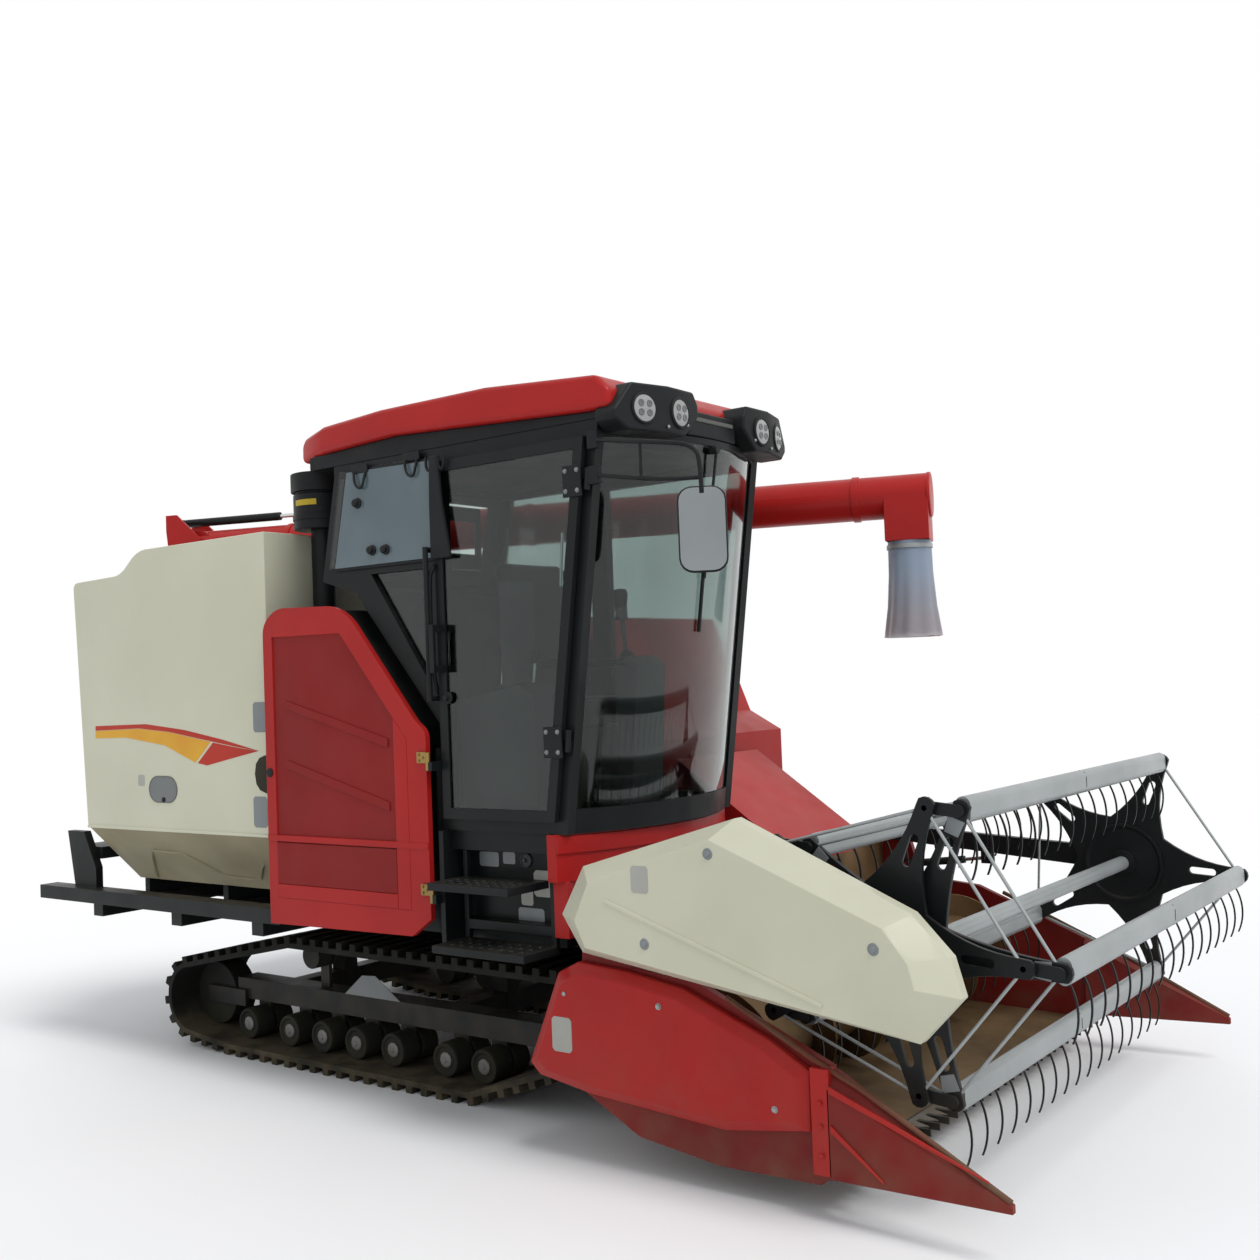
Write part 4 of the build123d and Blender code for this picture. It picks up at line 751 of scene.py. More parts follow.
for count, z in enumerate((1.526, 2.482)):
    x = 0.89 + (z - 1.177) * screen_lean
    add(block(f"door_hinge_leaf_{count}", (x - 0.115, -1.146, z - 0.062), (x - 0.028, -1.1365, z + 0.055)),
        "black_paint", 0.003, body="door")
    bolts(f"door_hinge_bolts_{count}", [(x - 0.1, -1.146, z - 0.04), (x - 0.1, -1.146, z + 0.035),
        (x - 0.045, -1.146, z + 0.035), (x - 0.045, -1.146, z - 0.04)], RIGHT, 0.007, "silver_tube",
        finish=plate_grey, body="door")
add(rod("door_gas_strut_rod", (0.918, -1.098, 2.3), (0.9, -1.098, 2.1), 0.006), "rod_chrome", body="door")
add(turned("door_lock", [(0, 0), (0.024, 0), (0.024, 0.006), (0.012, 0.01), (0.012, 0.022), (0, 0.023)],
    (0.335, -1.136, 1.7), RIGHT, 24), "black_plastic", 0.001, body="door")
add(wire("door_grab_bar", [(0.865, -1.092, 1.62), (0.865, -1.062, 1.63), (0.885, -1.06, 1.8), (0.905, -1.062, 1.93),
    (0.905, -1.092, 1.94)], 0.011), "silver_tube", body="door")

# Mirror: a rounded shell and its glass, on two bent arms
mirror_turn = radians(-58.0)
mirror_way = Vector((cos(mirror_turn), sin(mirror_turn), 0))
mirror_side = Vector((-mirror_way.y, mirror_way.x, 0))
mirror_face = Vector((1.588, -1.165, 2.243)) + mirror_way * 0.014


def on_mirror(across, up, out=0.0):
    """A place on the mirror's face."""
    return mirror_face + mirror_side * across + Vector(UP) * up + mirror_way * out


def mirror_oval(half_width, half_height, corner):
    """The rounded outline of the mirror, corner by corner."""
    return [(side_x * (half_width - corner) + across, side_z * (half_height - corner) + up)
        for side_x, side_z, first in ((1, 1, 0), (-1, 1, 90), (-1, -1, 180), (1, -1, 270))
        for across, up in round_place(0.0, 0.0, corner, (first + step * 22.5 for step in range(5)))]


shell = [on_mirror(across, up, -0.03) for across, up in mirror_oval(0.084, 0.147, 0.048)]
shell = eased(drawn("mirror_shell", shell, mirror_way * 0.03), 0.009, 3)
foot_high, foot_low = (1.098, -1.118, 2.622), (1.098, -1.118, 2.492)
arms = [wire("mirror_arm_high", [foot_high, (1.25, -1.15, 2.592), (1.43, -1.175, 2.562), (1.585, -1.178, 2.53),
    (1.598, -1.178, 2.44), (1.598, -1.178, 2.365)], 0.0085), wire("mirror_arm_low", [foot_low, (1.3, -1.16, 2.452),
    (1.48, -1.178, 2.425), (1.598, -1.178, 2.418)], 0.0075), rod("mirror_stay", (1.336, -1.162, 2.455),
    (1.336, -1.162, 2.575), 0.006)]
for x, y, z in (foot_high, foot_low):
    arms.append(eased(block("mirror_foot", (x - 0.028, y - 0.012, z - 0.034), (x + 0.022, y + 0.014, z + 0.034)),
        0.004))
mirror = joined("door_mirror", [shell, *arms])
settle(mirror, "black_plastic")
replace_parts(mirror, "mirror")
add(drawn("mirror_glass", [on_mirror(across, up, -0.001) for across, up in mirror_oval(0.0785, 0.1415, 0.044)],
    mirror_way * 0.0025), "rod_chrome", 0.001, finish=mirror_silver)

# Wiper on the windscreen
def on_screen(z, out=0.0):
    """A place on the windscreen's middle line."""
    return Vector((1.038 + (z - 1.268) * screen_lean + out, -0.5525, z))


wiper = [rod("wiper_pivot", on_screen(2.625, -0.002), on_screen(2.625, 0.034), 0.016), rod("wiper_arm",
    on_screen(2.625, 0.026), on_screen(2.13, 0.016), 0.006)]
blade = [(on_screen(z, out).x, z) for z, out in ((1.92, 0.002), (1.92, 0.015), (2.36, 0.015), (2.36, 0.002))]
wiper.append(eased(side_piece("wiper_blade", blade, -0.5465, 0.012), 0.003))
add(joined("wiper", wiper), "black_plastic")


# ---- grain tank
tank_side = -1.14
swoosh_top = [(-2.12, 1.617), (-1.693, 1.622), (-1.388, 1.591), (-1.1, 1.544), (-0.841, 1.492), (-1.01, 1.512),
    (-1.28, 1.55), (-1.5, 1.582), (-1.75, 1.602), (-2.121, 1.594)]
swoosh_left = [(-2.121, 1.592), (-1.75, 1.6), (-1.5, 1.58), (-1.19, 1.534), (-1.306, 1.438), (-1.542, 1.519),
    (-1.856, 1.558), (-2.122, 1.556)]
swoosh_right = [(-1.172, 1.531), (-1.01, 1.509), (-0.845, 1.492), (-1.047, 1.457), (-1.219, 1.426), (-1.29, 1.436)]
for name, outline, finish in (("top", swoosh_top, stripe_red), ("left", swoosh_left, stripe_yellow), ("right",
        swoosh_right, stripe_red)):
    add(side_piece(f"swoosh_{name}", outline, tank_side, 0.0009), "cream_paint", finish=finish)

window = [(-1.5645 + side * (0.0455 + 0.065 * cos(radians(way))), 1.3105 + 0.0615 * sin(radians(way)))
    for side, ways in ((-1, range(-90, 91, 18)), (1, range(90, -91, -18))) for way in ways]
add(side_piece("tank_window", window, tank_side, 0.002), "grey_plastic", 0.001, finish=window_grey)
add(wire("tank_window_rim", [(x, tank_side - 0.0015, z) for x, z in window + window[:1]], 0.0025), "black_plastic",
    finish=rim_grey)
add(turned("tank_window_catch", [(0, 0), (0.012, 0), (0.012, 0.004), (0, 0.006)], (-1.56, -1.142, 1.262), RIGHT,
    12), "black_plastic")
label_plate("tank_plate_high", (-0.876, 1.575), (-0.781, 1.709), tank_side, plate_grey)
label_plate("tank_plate_low", (-0.89, 1.153), (-0.795, 1.29), tank_side, plate_grey)
label_plate("tank_plate_small", (-1.765, 1.325), (-1.715, 1.378), tank_side, plate_pale)
recess = [(-0.772, 1.304), (-0.8, 1.306), (-0.84, 1.318), (-0.865, 1.345), (-0.874, 1.39), (-0.865, 1.435),
    (-0.84, 1.461), (-0.8, 1.473), (-0.772, 1.475)]
# A thin dark sheet on the tank side stands in for the latch recess: painted shadow.
add(side_piece("latch_recess_shadow", recess, tank_side, 0.0015), "black_plastic", 0.0005, finish=painted_recess_shadow)


def on_trough(x, share):
    """A place on the trough's slanting right face, from its top at 0 to its foot at 1."""
    return Vector((x, tank_side + 0.29 * share, 1.12 - 0.3 * share))


trough_out = Vector((0, -0.719, -0.695))


def trough_rib(start, end):
    """A pressed rib between two places on the trough."""
    first, last = on_trough(*start), on_trough(*end)
    across = (last - first).cross(trough_out).normalized() * 0.01
    piece = drawn("trough_rib", [first - across, last - across, last + across, first + across], trough_out * 0.012)
    with editing(piece):
        pick_faces(piece, lambda middle, normal: normal.dot(trough_out) > 0.9)
        bpy.ops.transform.resize(value=(0.55, 0.55, 0.55))
    return piece


trough_lines = (((-1.85, 0.4), (-1.6, 0.42)), ((-1.85, 0.4), (-2.04, 0.96)), ((-1.6, 0.42), (-1.42, 0.8)),
    ((-1.42, 0.8), (-1.16, 0.82)), ((-2.04, 0.96), (-1.95, 0.7)), ((-1.16, 0.82), (-1.02, 0.5)))
# The trough's ribs and end plate take the darker cream of painted shade and dust.
add(joined("trough_ribs", [trough_rib(start, end) for start, end in trough_lines]), "cream_paint", 0.003,
    finish=shaded_dusty_cream)
add(drawn("trough_end_plate", [(-1.1, -1.142, 1.118), (-0.772, -1.142, 1.118), (-0.772, -0.855, 0.822),
    (-0.9, -0.94, 0.91)], trough_out * 0.004), "cream_paint", 0.002, finish=shaded_dusty_cream)
add(block("tank_lower_lip", (-2.205, -1.146, 1.11), (-0.772, -1.136, 1.124)), "cream_paint", 0.003)

# Lid on the tank's top, with ribs, handle and hinges
add(block("tank_lid", (-1.62, -0.7, 2.345), (-0.9, -0.08, 2.362)), "cream_paint", 0.008, 3)
for count, x in enumerate((-1.45, -1.26, -1.07)):
    add(block(f"tank_lid_rib_{count}", (x - 0.02, -0.66, 2.362), (x + 0.02, -0.12, 2.37)), "cream_paint", 0.006)
add(wire("tank_lid_handle", [(-1.3, -0.115, 2.362), (-1.3, -0.105, 2.395), (-1.2, -0.105, 2.395),
    (-1.2, -0.115, 2.362)], 0.006), "black_paint")
for count, x in enumerate((-1.5, -1.02)):
    add(rod(f"tank_lid_hinge_{count}", (x - 0.05, -0.712, 2.354), (x + 0.05, -0.712, 2.354), 0.009), "silver_tube")

# Air cleaner: its band and its yellow plate
add(turned("air_cleaner_band", [(0.1305, 0), (0.134, 0.002), (0.134, 0.028), (0.1305, 0.03)], (-0.7, -0.855, 2.52),
    UP, 40), "black_plastic", 0.001)
cleaner_sign = turned("air_cleaner_sign", [(0.1302, 0), (0.1312, 0), (0.1312, 0.026), (0.1302, 0.026)],
    (-0.7, -0.855, 2.585), UP, 48)
with editing(cleaner_sign):
    pick_faces(cleaner_sign, lambda middle, normal: not (middle.y < -0.9 and -0.74 < middle.x < -0.62))
    bpy.ops.mesh.delete(type="FACE")
add(cleaner_sign, "black_plastic", finish=band_yellow)

# ---- engine cover
leaf_face = -1.1865
for count, z in enumerate((1.45, 0.93)):
    low_leaf = block("brass_leaf", (0.196, leaf_face, z - 0.004), (0.246, -1.1785, z + 0.04))
    knuckle = rod("brass_knuckle", (0.252, -1.179, z - 0.034), (0.252, -1.179, z + 0.038), 0.0098)
    add(joined(f"brass_hinge_{count}", [low_leaf, knuckle]), "silver_tube", 0.0012, finish=brass,
        body="engine_cover")
    bolts(f"brass_hinge_bolts_{count}", [(0.208, leaf_face, z + 0.006), (0.208, leaf_face, z + 0.03),
        (0.23, leaf_face, z + 0.018)], RIGHT, 0.0055, "silver_tube", finish=brass, body="engine_cover")
cover_crease = [(-0.748, 1.13), (-0.748, 1.104), (0.236, 1.104), (0.236, 1.13)]
add(side_piece("cover_crease", cover_crease, cover_face, 0.011), "red_paint", 0.0028, body="engine_cover")
add(turned("cover_lock", [(0, 0), (0.02, 0), (0.02, 0.004), (0.008, 0.005), (0, 0.004)], (-0.725, -1.175, 1.4),
    RIGHT, 24), "black_plastic", 0.001, body="engine_cover")

# ---- nose and cab base
base_plates = ((0.364, 1.029, 0.467, 1.086, plate_grey), (0.489, 1.043, 0.553, 1.089, plate_grey), (0.645, 0.925,
    0.753, 1.026, plate_pale), (0.578, 0.888, 0.639, 0.962, plate_pale), (0.561, 0.802, 0.693, 0.879, plate_grey))
for count, (x, z, far_x, far_z, finish) in enumerate(base_plates):
    label_plate(f"base_plate_{count}", (x, z), (far_x, far_z), -1.0205, finish)
add(turned("main_switch", [(0, 0), (0.028, 0), (0.028, 0.008), (0.02, 0.012), (0.02, 0.006), (0.008, 0.006),
    (0.008, 0.02), (0, 0.021)], (0.61, -1.02, 1.062), RIGHT, 28), "grey_plastic", 0.0012)
bolts("base_bolts", [(0.3, -1.02, 0.78), (0.3, -1.02, 0.93), (0.77, -1.02, 1.07), (0.34, -1.02, 1.1),
    (0.77, -1.02, 0.79)], RIGHT, 0.009, "black_paint")
for name, (x_low, x_high), (y_low, y_high), z in (("upper_tread", (0.33, 0.7), (-1.235, -1.115), 0.99),
        ("lower_tread", (0.37, 0.77), (-1.245, -1.09), 0.755)):
    studs = []
    for column in range(8):
        for row in range(3):
            x = x_low + (x_high - x_low) * (column + 0.5) / 8
            y = y_low + (y_high - y_low) * (row + 0.5) / 3
            studs.append(turned("stud", [(0, 0), (0.013, 0), (0.01, 0.0035), (0, 0.0035)], (x, y, z - 0.0002), UP,
                8))
    add(joined(f"{name}_studs", studs), "black_paint")

# ---- header
for count, (x, z, far_x, far_z) in enumerate(((2, 0.42, 2.52, 0.235), (2, 0.3, 2.18, 0.17))):
    add(side_piece(f"divider_rib_{count}", [(x, z), (far_x, far_z), (far_x, far_z + 0.007), (x, z + 0.024)], -1.199,
        0.009), "red_paint", 0.003, body="header")
for name, turn, shift in (("right", -1, 0), ("left", 1, 0.09)):
    edge = [(x, turn * y + shift, z) for x, y, z in ((1.6, 1.16, 0.668), (1.95, 1.178, 0.505), (2.1, 1.176, 0.44),
        (2.58, 1.192, 0.19))]
    add(wire(f"divider_edge_{name}", edge, 0.009, 2), "red_paint", finish=red_worn, body="header")
bolts("divider_bolts", [(1.965, -1.2005, 0.384), (1.965, -1.2005, 0.312), (1.965, -1.2005, 0.22)], RIGHT, 0.008,
    "red_paint", body="header")
bolts("drive_cover_bolts", [(0.93, -1.2005, 0.62), (1.35, -1.2045, 0.62), (1.8, -1.2045, 0.34)], RIGHT, 0.009,
    "silver_tube", body="header")
label_plate("drive_cover_plate", (0.868, 0.41), (0.96, 0.535), -1.205, plate_pale, body="header")
knife = [place for y in (index * 2.285 / 30 - 1.11 for index in range(30)) for place in ((2.036, y + 0.004, 0.1455),
    (1.968, y + 0.038, 0.1455))]
knife += [(1.945, 1.175, 0.1455), (1.945, -1.11, 0.1455)]
add(drawn("knife_sections", knife, (0, 0, 0.003)), "worn_steel", finish=knife_steel, body="header")

# ---- reel cover, reel and its bars
label_plate("reel_cover_plate", (1.322, 1.02), (1.394, 1.112), -1.295, plate_pale, body="reel_arms")
add(side_piece("reel_cover_crease", [(1.2, 0.978), (2.04, 0.708), (2.046, 0.722), (1.206, 0.992)], -1.2935, 0.006),
    "cream_paint", 0.003, body="reel_arms")
for count, (x, z) in enumerate(((1.369, 0.85), (1.64, 1.165), (2.225, 0.905))):
    add(turned(f"reel_cover_bolt_{count}", [(0, 0), (0.02, 0), (0.018, 0.003), (0.011, 0.003), (0.01, 0.008),
        (0, 0.009)], (x, -1.2945, z), RIGHT, 20), "silver_tube", 0.0008, finish=plate_grey, body="reel_arms")
blocks = []
for turn in arm_turns:
    radial, across = Vector((cos(turn), 0, sin(turn))), Vector((-sin(turn), 0, cos(turn)))
    middle = Vector((reel_x, 0, reel_z)) + radial * (reel_reach - 0.045)
    for y, push in ((-1.0042, -0.003), (1.1402, 0.003)):
        corners = [middle + radial * a + across * b + Vector((0, y, 0)) for a, b in ((-0.035, -0.024),
            (0.018, -0.03), (0.018, 0.03), (-0.035, 0.024))]
        blocks.append(drawn("bearing_block", corners, (0, push, 0)))
add(joined("bearing_blocks", blocks), "silver_tube", 0.001, finish=plate_grey, body="reel")
for count, turn in enumerate(arm_turns, 1):
    x, z = reel_x + reel_reach * cos(turn), reel_z + reel_reach * sin(turn)
    band = round_place(x, z + 0.0175, 0.0262, (0, 45, 90, 135, 179.9))
    band += round_place(x, z - 0.0175, 0.0262, (180.1, 225, 270, 315, 359.9))
    add(side_piece(f"bar_bands_{count}", band, 0.1, 0.003), "black_paint", body=f"reel_bar_{count}")
    second_finish(bpy.data.objects[f"reel_bar_{count}_eased"], black,
        lambda middle, normal: middle.z < z - 0.0435 or middle.y < -0.9765)

# ---- tracks
roller_z = 0.1305
for face, guard_y, way, name in ((-0.74, -0.697, RIGHT, "right"), (0.83, 0.79, LEFT, "left")):
    caps, rims = [], []
    for x in (-1.488, -1.182, -0.946, -0.712, -0.471, -0.142, 0.084):
        caps.append(turned("roller_cap", [(0, 0), (0.034, 0), (0.034, 0.005), (0.026, 0.009), (0.012, 0.009),
            (0.01, 0.013), (0, 0.013)], (x, face, roller_z), way, 10))
        rims.append(turned("roller_rim", [(0.05, 0), (0.0735, 0), (0.0715, 0.008), (0.06, 0.009), (0.054, 0.002)],
            (x, face, roller_z), way, 40))
    add(joined(f"roller_caps_{name}", caps), "wheel_iron", 0.0015, finish=cap_metal)
    add(joined(f"roller_rims_{name}", rims), "wheel_iron", 0.0015)
    add(side_piece(f"roller_guard_{name}", [(-0.83, 0.335), (-0.71, 0.43), (-0.62, 0.436), (-0.46, 0.335)], guard_y,
        0.004), "black_paint", 0.0015, finish=plate_grey)


# ---- seat
most_swell = 0.01


def cushion(name, corners, push, waist):
    """A padded block: drawn, divided, blown up a little as cloth, and capped in how far it may swell."""
    piece = eased(drawn(name, corners, push), waist, 4)
    modified(piece, "REMESH", mode="VOXEL", voxel_size=0.006)
    start = [point.co.copy() for point in piece.data.vertices]
    cloth_sim = piece.modifiers.new("cloth", "CLOTH")
    cloth_sim.settings.use_pressure = True
    cloth_sim.settings.uniform_pressure_force = 4.0
    cloth_sim.settings.effector_weights.gravity = 0.0
    cloth_sim.settings.quality = 6
    cloth_sim.point_cache.frame_start = 1
    cloth_sim.point_cache.frame_end = 20
    for step in range(1, 21):
        bpy.context.scene.frame_set(step)
    alone(piece)
    bpy.ops.object.modifier_apply(modifier="cloth")
    bpy.context.scene.frame_set(1)
    for point, rest in zip(piece.data.vertices, start):
        move = point.co - rest
        if move.length > most_swell:
            point.co = rest + move.normalized() * most_swell
    modified(piece, "SUBSURF", levels=1, render_levels=1)
    bpy.ops.object.shade_smooth()
    settle(piece, "seat_fabric")
    return piece


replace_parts(cushion("seat_pad", [(0.305, -0.775, 1.575), (0.745, -0.775, 1.575), (0.745, -0.325, 1.575),
    (0.305, -0.325, 1.575)], (0, 0, 0.095), 0.03), "seat_cushion")
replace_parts(cushion("back_pad", [(0.31, -0.755, 1.7), (0.385, -0.755, 1.7), (0.292, -0.755, 2.27),
    (0.232, -0.755, 2.255)], (0, 0.41, 0), 0.026), "seat_back")
piping_z = 1.672
add(wire("seat_piping", [(0.33, -0.783, piping_z), (0.72, -0.783, piping_z), (0.752, -0.77, piping_z),
    (0.752, -0.33, piping_z), (0.72, -0.317, piping_z), (0.33, -0.317, piping_z)], 0.005), "seat_fabric")
for name, y in (("right", -0.8), ("left", -0.3)):
    add(block(f"arm_rest_{name}", (0.33, y - 0.022, 1.8), (0.62, y + 0.022, 1.84)), "black_plastic", 0.014, 3)
    add(rod(f"arm_rest_stay_{name}", (0.345, y, 1.64), (0.345, y, 1.805), 0.012), "black_paint")

# ---- console, levers and column
for count, (x, y, tall) in enumerate(((0.42, -0.9, 0.16), (0.47, -0.97, 0.13), (0.6, -0.93, 0.1))):
    add(turned(f"lever_gaiter_{count}", [(0, 0), (0.04, 0), (0.036, 0.01), (0.028, 0.014), (0.03, 0.022),
        (0.02, 0.028), (0.021, 0.036), (0.01, 0.046), (0, 0.046)], (x, y, 1.7), UP, 24), "black_plastic")
    add(rod(f"lever_{count}", (x, y, 1.73), (x + 0.015, y, 1.73 + tall), 0.006), "rod_chrome")
    add(turned(f"lever_knob_{count}", [(0, 0), (0.01, 0), (0.02, 0.014), (0.024, 0.032), (0.019, 0.05),
        (0.01, 0.058), (0, 0.06)], (x + 0.015, y, 1.722 + tall), UP, 24), "black_plastic" if count else "red_paint")
add(turned("joystick_grip", [(0, 0), (0.026, 0), (0.022, 0.03), (0.027, 0.07), (0.032, 0.105), (0.026, 0.125),
    (0, 0.13)], (0.797, -0.6, 1.985), (-0.02, 0, 1), 28), "black_plastic")
add(turned("joystick_boot", [(0, 0), (0.06, 0), (0.052, 0.014), (0.04, 0.018), (0.042, 0.03), (0.026, 0.04),
    (0.028, 0.052), (0.012, 0.066), (0, 0.066)], (0.822, -0.6, 1.8), (-0.1, 0, 1), 28), "black_plastic")
add(drawn("column_display", [(0.792, -0.64, 1.62), (0.792, -0.46, 1.62), (0.792, -0.46, 1.76),
    (0.792, -0.64, 1.76)], (-0.012, 0, 0)), "black_plastic", 0.005)
add(drawn("column_screen", [(0.7795, -0.628, 1.635), (0.7795, -0.472, 1.635), (0.7795, -0.472, 1.748),
    (0.7795, -0.628, 1.748)], (-0.002, 0, 0)), "grey_plastic", 0.0008, finish=window_grey)
switches = []
for count in range(6):
    x = 0.36 + 0.052 * count
    top_z = 1.69 + 0.05 * min(max((x - 0.3) / 0.32, 0.0), 1.0)
    switches.append(block("rocker", (x, -1.025, top_z), (x + 0.034, -1.003, top_z + 0.01)))
add(joined("console_rockers", switches), "black_plastic", 0.003)
bars = [block("rear_bar", (-0.395, y_low, 2.3), (-0.383, y_high, 2.6)) for y_low, y_high in ((-0.96, -0.86),
    (-0.75, -0.65), (-0.48, -0.36), (-0.18, -0.14))]
bars += [block("rear_bar", (-0.396, -0.96, z_low), (-0.384, -0.14, z_high))
    for z_low, z_high in ((2.3, 2.375), (2.53, 2.6))]
add(joined("rear_window_frame", bars), "grey_plastic", 0.003, finish=trim_grey)
add(block("cab_headliner", (-0.27, -1.055, 2.66), (0.96, -0.045, 2.69)), "grey_plastic", 0.01, finish=trim_grey)

# ---- spout sleeve, hung from the spout
sleeve_top, sleeve_tall = along(3.778, 0.0, spout_low), 0.44
sleeve = drawn("sleeve_cloth", [(0.0985, 0, 0), (0.102, 0, -0.15), (0.113, 0, -0.3), (0.134, 0, -sleeve_tall)],
    (0, 0, 0))
with editing(sleeve):
    bpy.ops.mesh.delete(type="ONLY_FACE")
    shape = bmesh.from_edit_mesh(sleeve.data)
    for edge in list(shape.edges):
        if abs(edge.verts[0].co.z - edge.verts[1].co.z) > 0.3:
            shape.edges.remove(edge)
    bmesh.update_edit_mesh(sleeve.data)
    bpy.ops.mesh.select_all(action="SELECT")
    bpy.ops.mesh.subdivide(number_cuts=4)
    spin_round(72)
for point in sleeve.data.vertices:
    depth = -point.co.z / sleeve_tall
    angle = atan2(point.co.y, point.co.x)
    fold = 0.0055 * depth * cos(9 * angle + 1.7 * depth) + 0.003 * depth * cos(4 * angle + 0.6)
    reach = hypot(point.co.x, point.co.y)
    point.co.x *= (reach + fold - 0.004 * depth) / reach
    point.co.y *= (reach + fold - 0.004 * depth) / reach
close_up(placed(sleeve, sleeve_top, UP))
bpy.ops.object.shade_smooth()
settle(sleeve, "sleeve_pvc", body="unloader")
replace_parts(sleeve, "spout_sleeve")
add(turned("sleeve_clamp", [(0.1015, 0), (0.1045, 0), (0.1045, 0.02), (0.1015, 0.02)],
    sleeve_top - Vector((0, 0, 0.035)), UP, 40), "silver_tube", 0.0008, body="unloader")

# ---- bands on the unloading tube
for count, distance in enumerate((0.55, 1.9, 3.53)):
    add(turned(f"tube_band_{count}", [(0.0995, 0), (0.106, 0), (0.106, 0.03), (0.0995, 0.03)], along(distance),
        tube_way, 48), "red_paint", 0.002, body="unloader")

# ---- left side, back and top
louvres = [side_piece("louvre", [(x, 1.7), (x + 0.042, 1.7), (x + 0.042, 1.92), (x, 1.92)], 1.166, 0.012)
    for x in (-0.92 + index * 0.075 for index in range(9))]
add(joined("left_louvres", louvres), "black_plastic", 0.005)
for count, (x, z) in enumerate(((-1.68, 1.66), (-0.7, 1.66), (-1.48, 0.88), (-0.52, 0.88))):
    add(wire(f"panel_handle_{count}", [(x - 0.06, 1.154, z), (x - 0.06, 1.185, z), (x + 0.06, 1.185, z),
        (x + 0.06, 1.154, z)], 0.007), "black_paint")
bolts("left_panel_bolts", [(x, 1.1555, z) for x in (-2.09, -1.27, -1.14, -0.27) for z in (1.66, 1.95)], LEFT, 0.009,
    "silver_tube")
bolts("guard_bolts", [(-1.9, guard_face, 1.13), (-1.9, guard_face, 1.37), (-0.85, guard_face, 1.54),
    (-0.02, guard_face, 1.05), (-0.02, guard_face, 1.25), (-1.2, guard_face, 1.1)], LEFT, 0.01, "silver_tube")
for count, y in enumerate((0.32, 0.6, 0.88)):
    add(drawn(f"hood_rib_{count}", [(-2.425, y - 0.014, 1.632), (-2.425, y + 0.014, 1.632),
        (-2.706, y + 0.014, 1.185), (-2.706, y - 0.014, 1.185)], (-0.012, 0, 0.008)), "black_plastic", 0.004)
for count, y in enumerate((-1, -0.12)):
    add(turned(f"rear_lamp_{count}", [(0, 0), (0.05, 0), (0.05, 0.018), (0.04, 0.026), (0, 0.03)],
        (-2.268, y, 1.95), REAR), "red_paint", 0.001, finish=lamp_red)
add(drawn("blank_number_plate", [(-2.262, -0.72, 1.6), (-2.262, -0.38, 1.6), (-2.27, -0.38, 1.72),
    (-2.27, -0.72, 1.72)], (-0.003, 0, 0)), "silver_tube", 0.0012, finish=plate_grey)
for count, z in enumerate((1.3, 1.52, 1.74, 1.96, 2.18)):
    rear_x = -2.21 - (z - 1.12) / (2.345 - 1.12) * 0.084
    add(wire(f"tank_step_{count}", [(rear_x + 0.005, -0.98, z), (rear_x - 0.05, -0.98, z), (rear_x - 0.05, -0.8, z),
        (rear_x + 0.005, -0.8, z)], 0.009), "black_paint")


# ---- floor, light and camera
def seen_straight(tree):
    """1 where the camera looks, also by a mirror or through glass, 0 for the light that a surface gets."""
    ray = new_node(tree, "LightPath").outputs
    return combine(tree, "ADD", combine(tree, "ADD", ray["Is Camera Ray"], ray["Is Glossy Ray"]),
        ray["Is Transmission Ray"])


def blend_shaders(tree, share, first, second, output):
    """Show one shader or another, by a share."""
    mix = new_node(tree, "MixShader", Fac=share)
    put(tree, mix.inputs[1], first)
    put(tree, mix.inputs[2], second)
    feed(tree, tree.nodes[output], Surface=mix.outputs["Shader"])


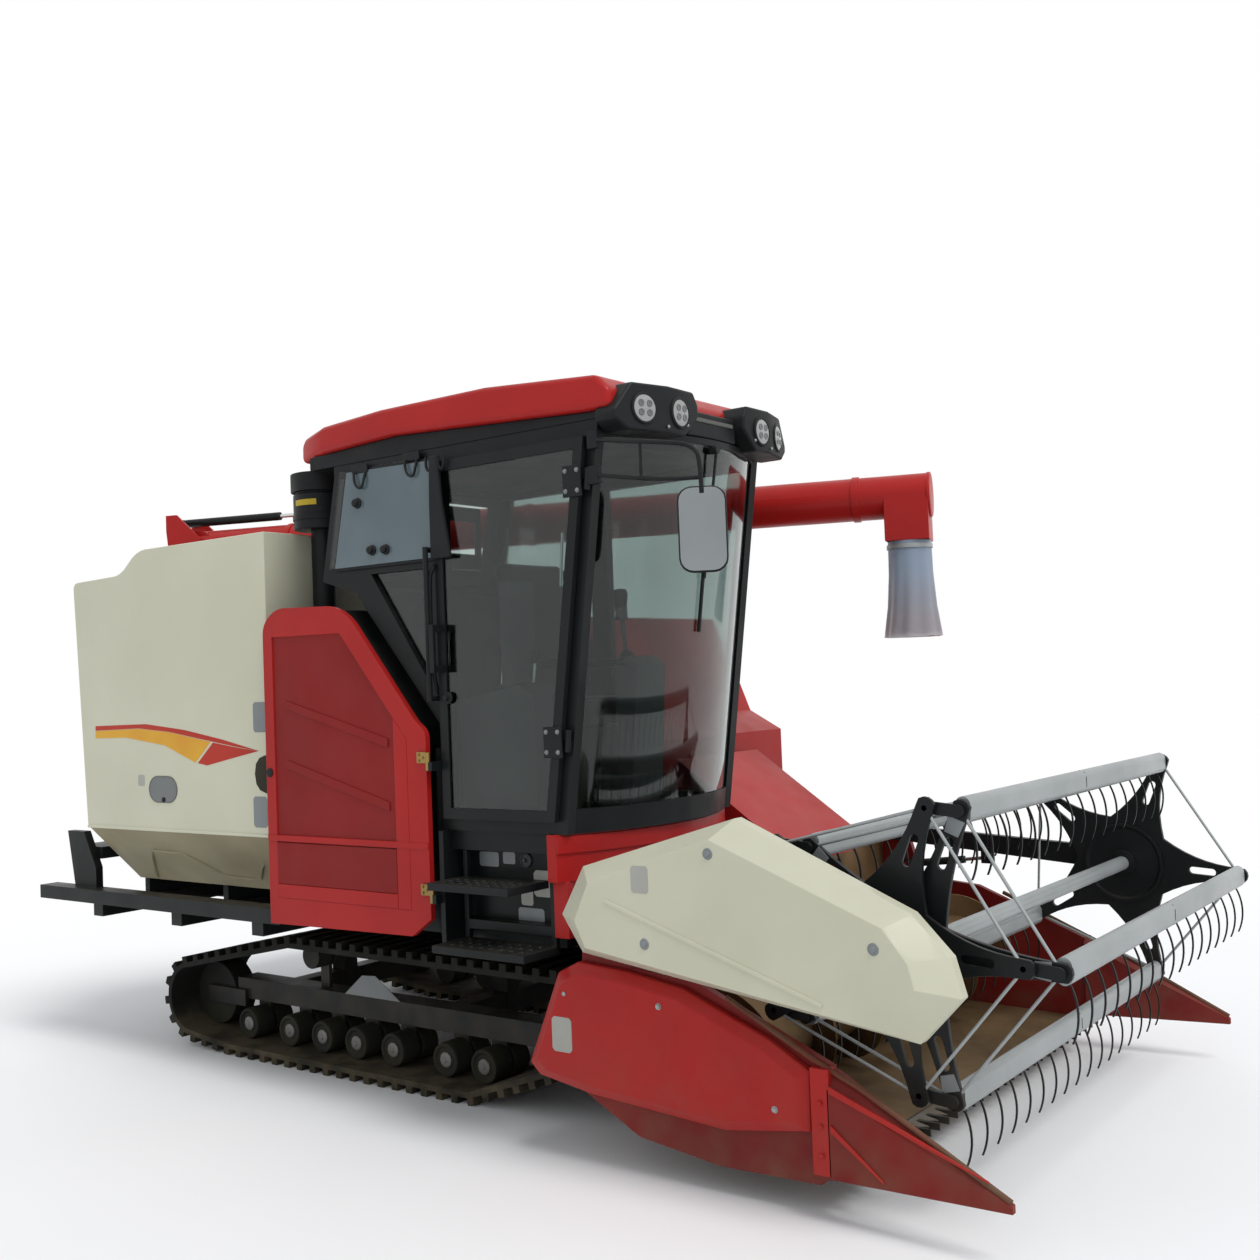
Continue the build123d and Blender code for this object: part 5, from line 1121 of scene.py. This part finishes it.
bpy.ops.object.select_all(action="DESELECT")
bpy.ops.mesh.primitive_plane_add(size=80.0, location=(0, 0, 0))
floor = bpy.context.object
floor.name = "floor"
material, tree, shader, place = start_finish("pale_floor")
feed(tree, shader, Base_Color=blend_colours(tree, cloudy(tree, place, 0.6, 0.0, 1.0), (0.9, 0.9, 0.9),
    (0.88, 0.88, 0.88)), Roughness=0.9)
away = tree.nodes.new("ShaderNodeVectorMath")
away.operation = "LENGTH"
put(tree, away.inputs[0], place)
fade = new_node(tree, "MapRange", Value=away.outputs["Value"], From_Min=3.0, From_Max=7.5)
fade.interpolation_type = "SMOOTHSTEP"
white = new_node(tree, "Emission", Color=(1, 1, 1))
blend_shaders(tree, combine(tree, "MULTIPLY", fade.outputs["Result"], seen_straight(tree)), shader.outputs["BSDF"],
    white.outputs["Emission"], "Material Output")
floor.data.materials.append(material)

world = bpy.data.worlds.new("studio")
bpy.context.scene.world = world
world.use_nodes = True
sky = world.node_tree
sky_light = feed(sky, sky.nodes["Background"], Color=(0.93, 0.96, 1), Strength=0.72)
backdrop = new_node(sky, "Background", Color=(1, 1, 1))
blend_shaders(sky, seen_straight(sky), sky_light.outputs["Background"], backdrop.outputs["Background"],
    "World Output")

sun_data = bpy.data.lights.new("key", "SUN")
sun_data.energy = 1.6
sun_data.angle = radians(25.0)
sun = bpy.data.objects.new("key", sun_data)
bpy.context.scene.collection.objects.link(sun)
sun.rotation_euler = Vector((1.5, -0.35, 2.4)).to_track_quat("Z", "Y").to_euler()

yaw, pitch, roll = radians(36.9), radians(2.1), radians(2.25)
forward = Vector((-sin(yaw) * cos(pitch), cos(yaw) * cos(pitch), sin(pitch)))
level = Vector((cos(yaw), sin(yaw), 0))
upright = level.cross(forward)
right = level * cos(roll) - upright * sin(roll)
top = level * sin(roll) + upright * cos(roll)
camera_data = bpy.data.cameras.new("camera")
camera_data.lens = 39.37
camera_data.sensor_width = 36.0
camera = bpy.data.objects.new("camera", camera_data)
bpy.context.scene.collection.objects.link(camera)
camera.matrix_world = Matrix.Translation((4.176, -5.045, 1.74)) @ Matrix((right, top,
    -forward)).transposed().to_4x4()
bpy.context.scene.camera = camera
bpy.context.scene.view_settings.view_transform = "Standard"
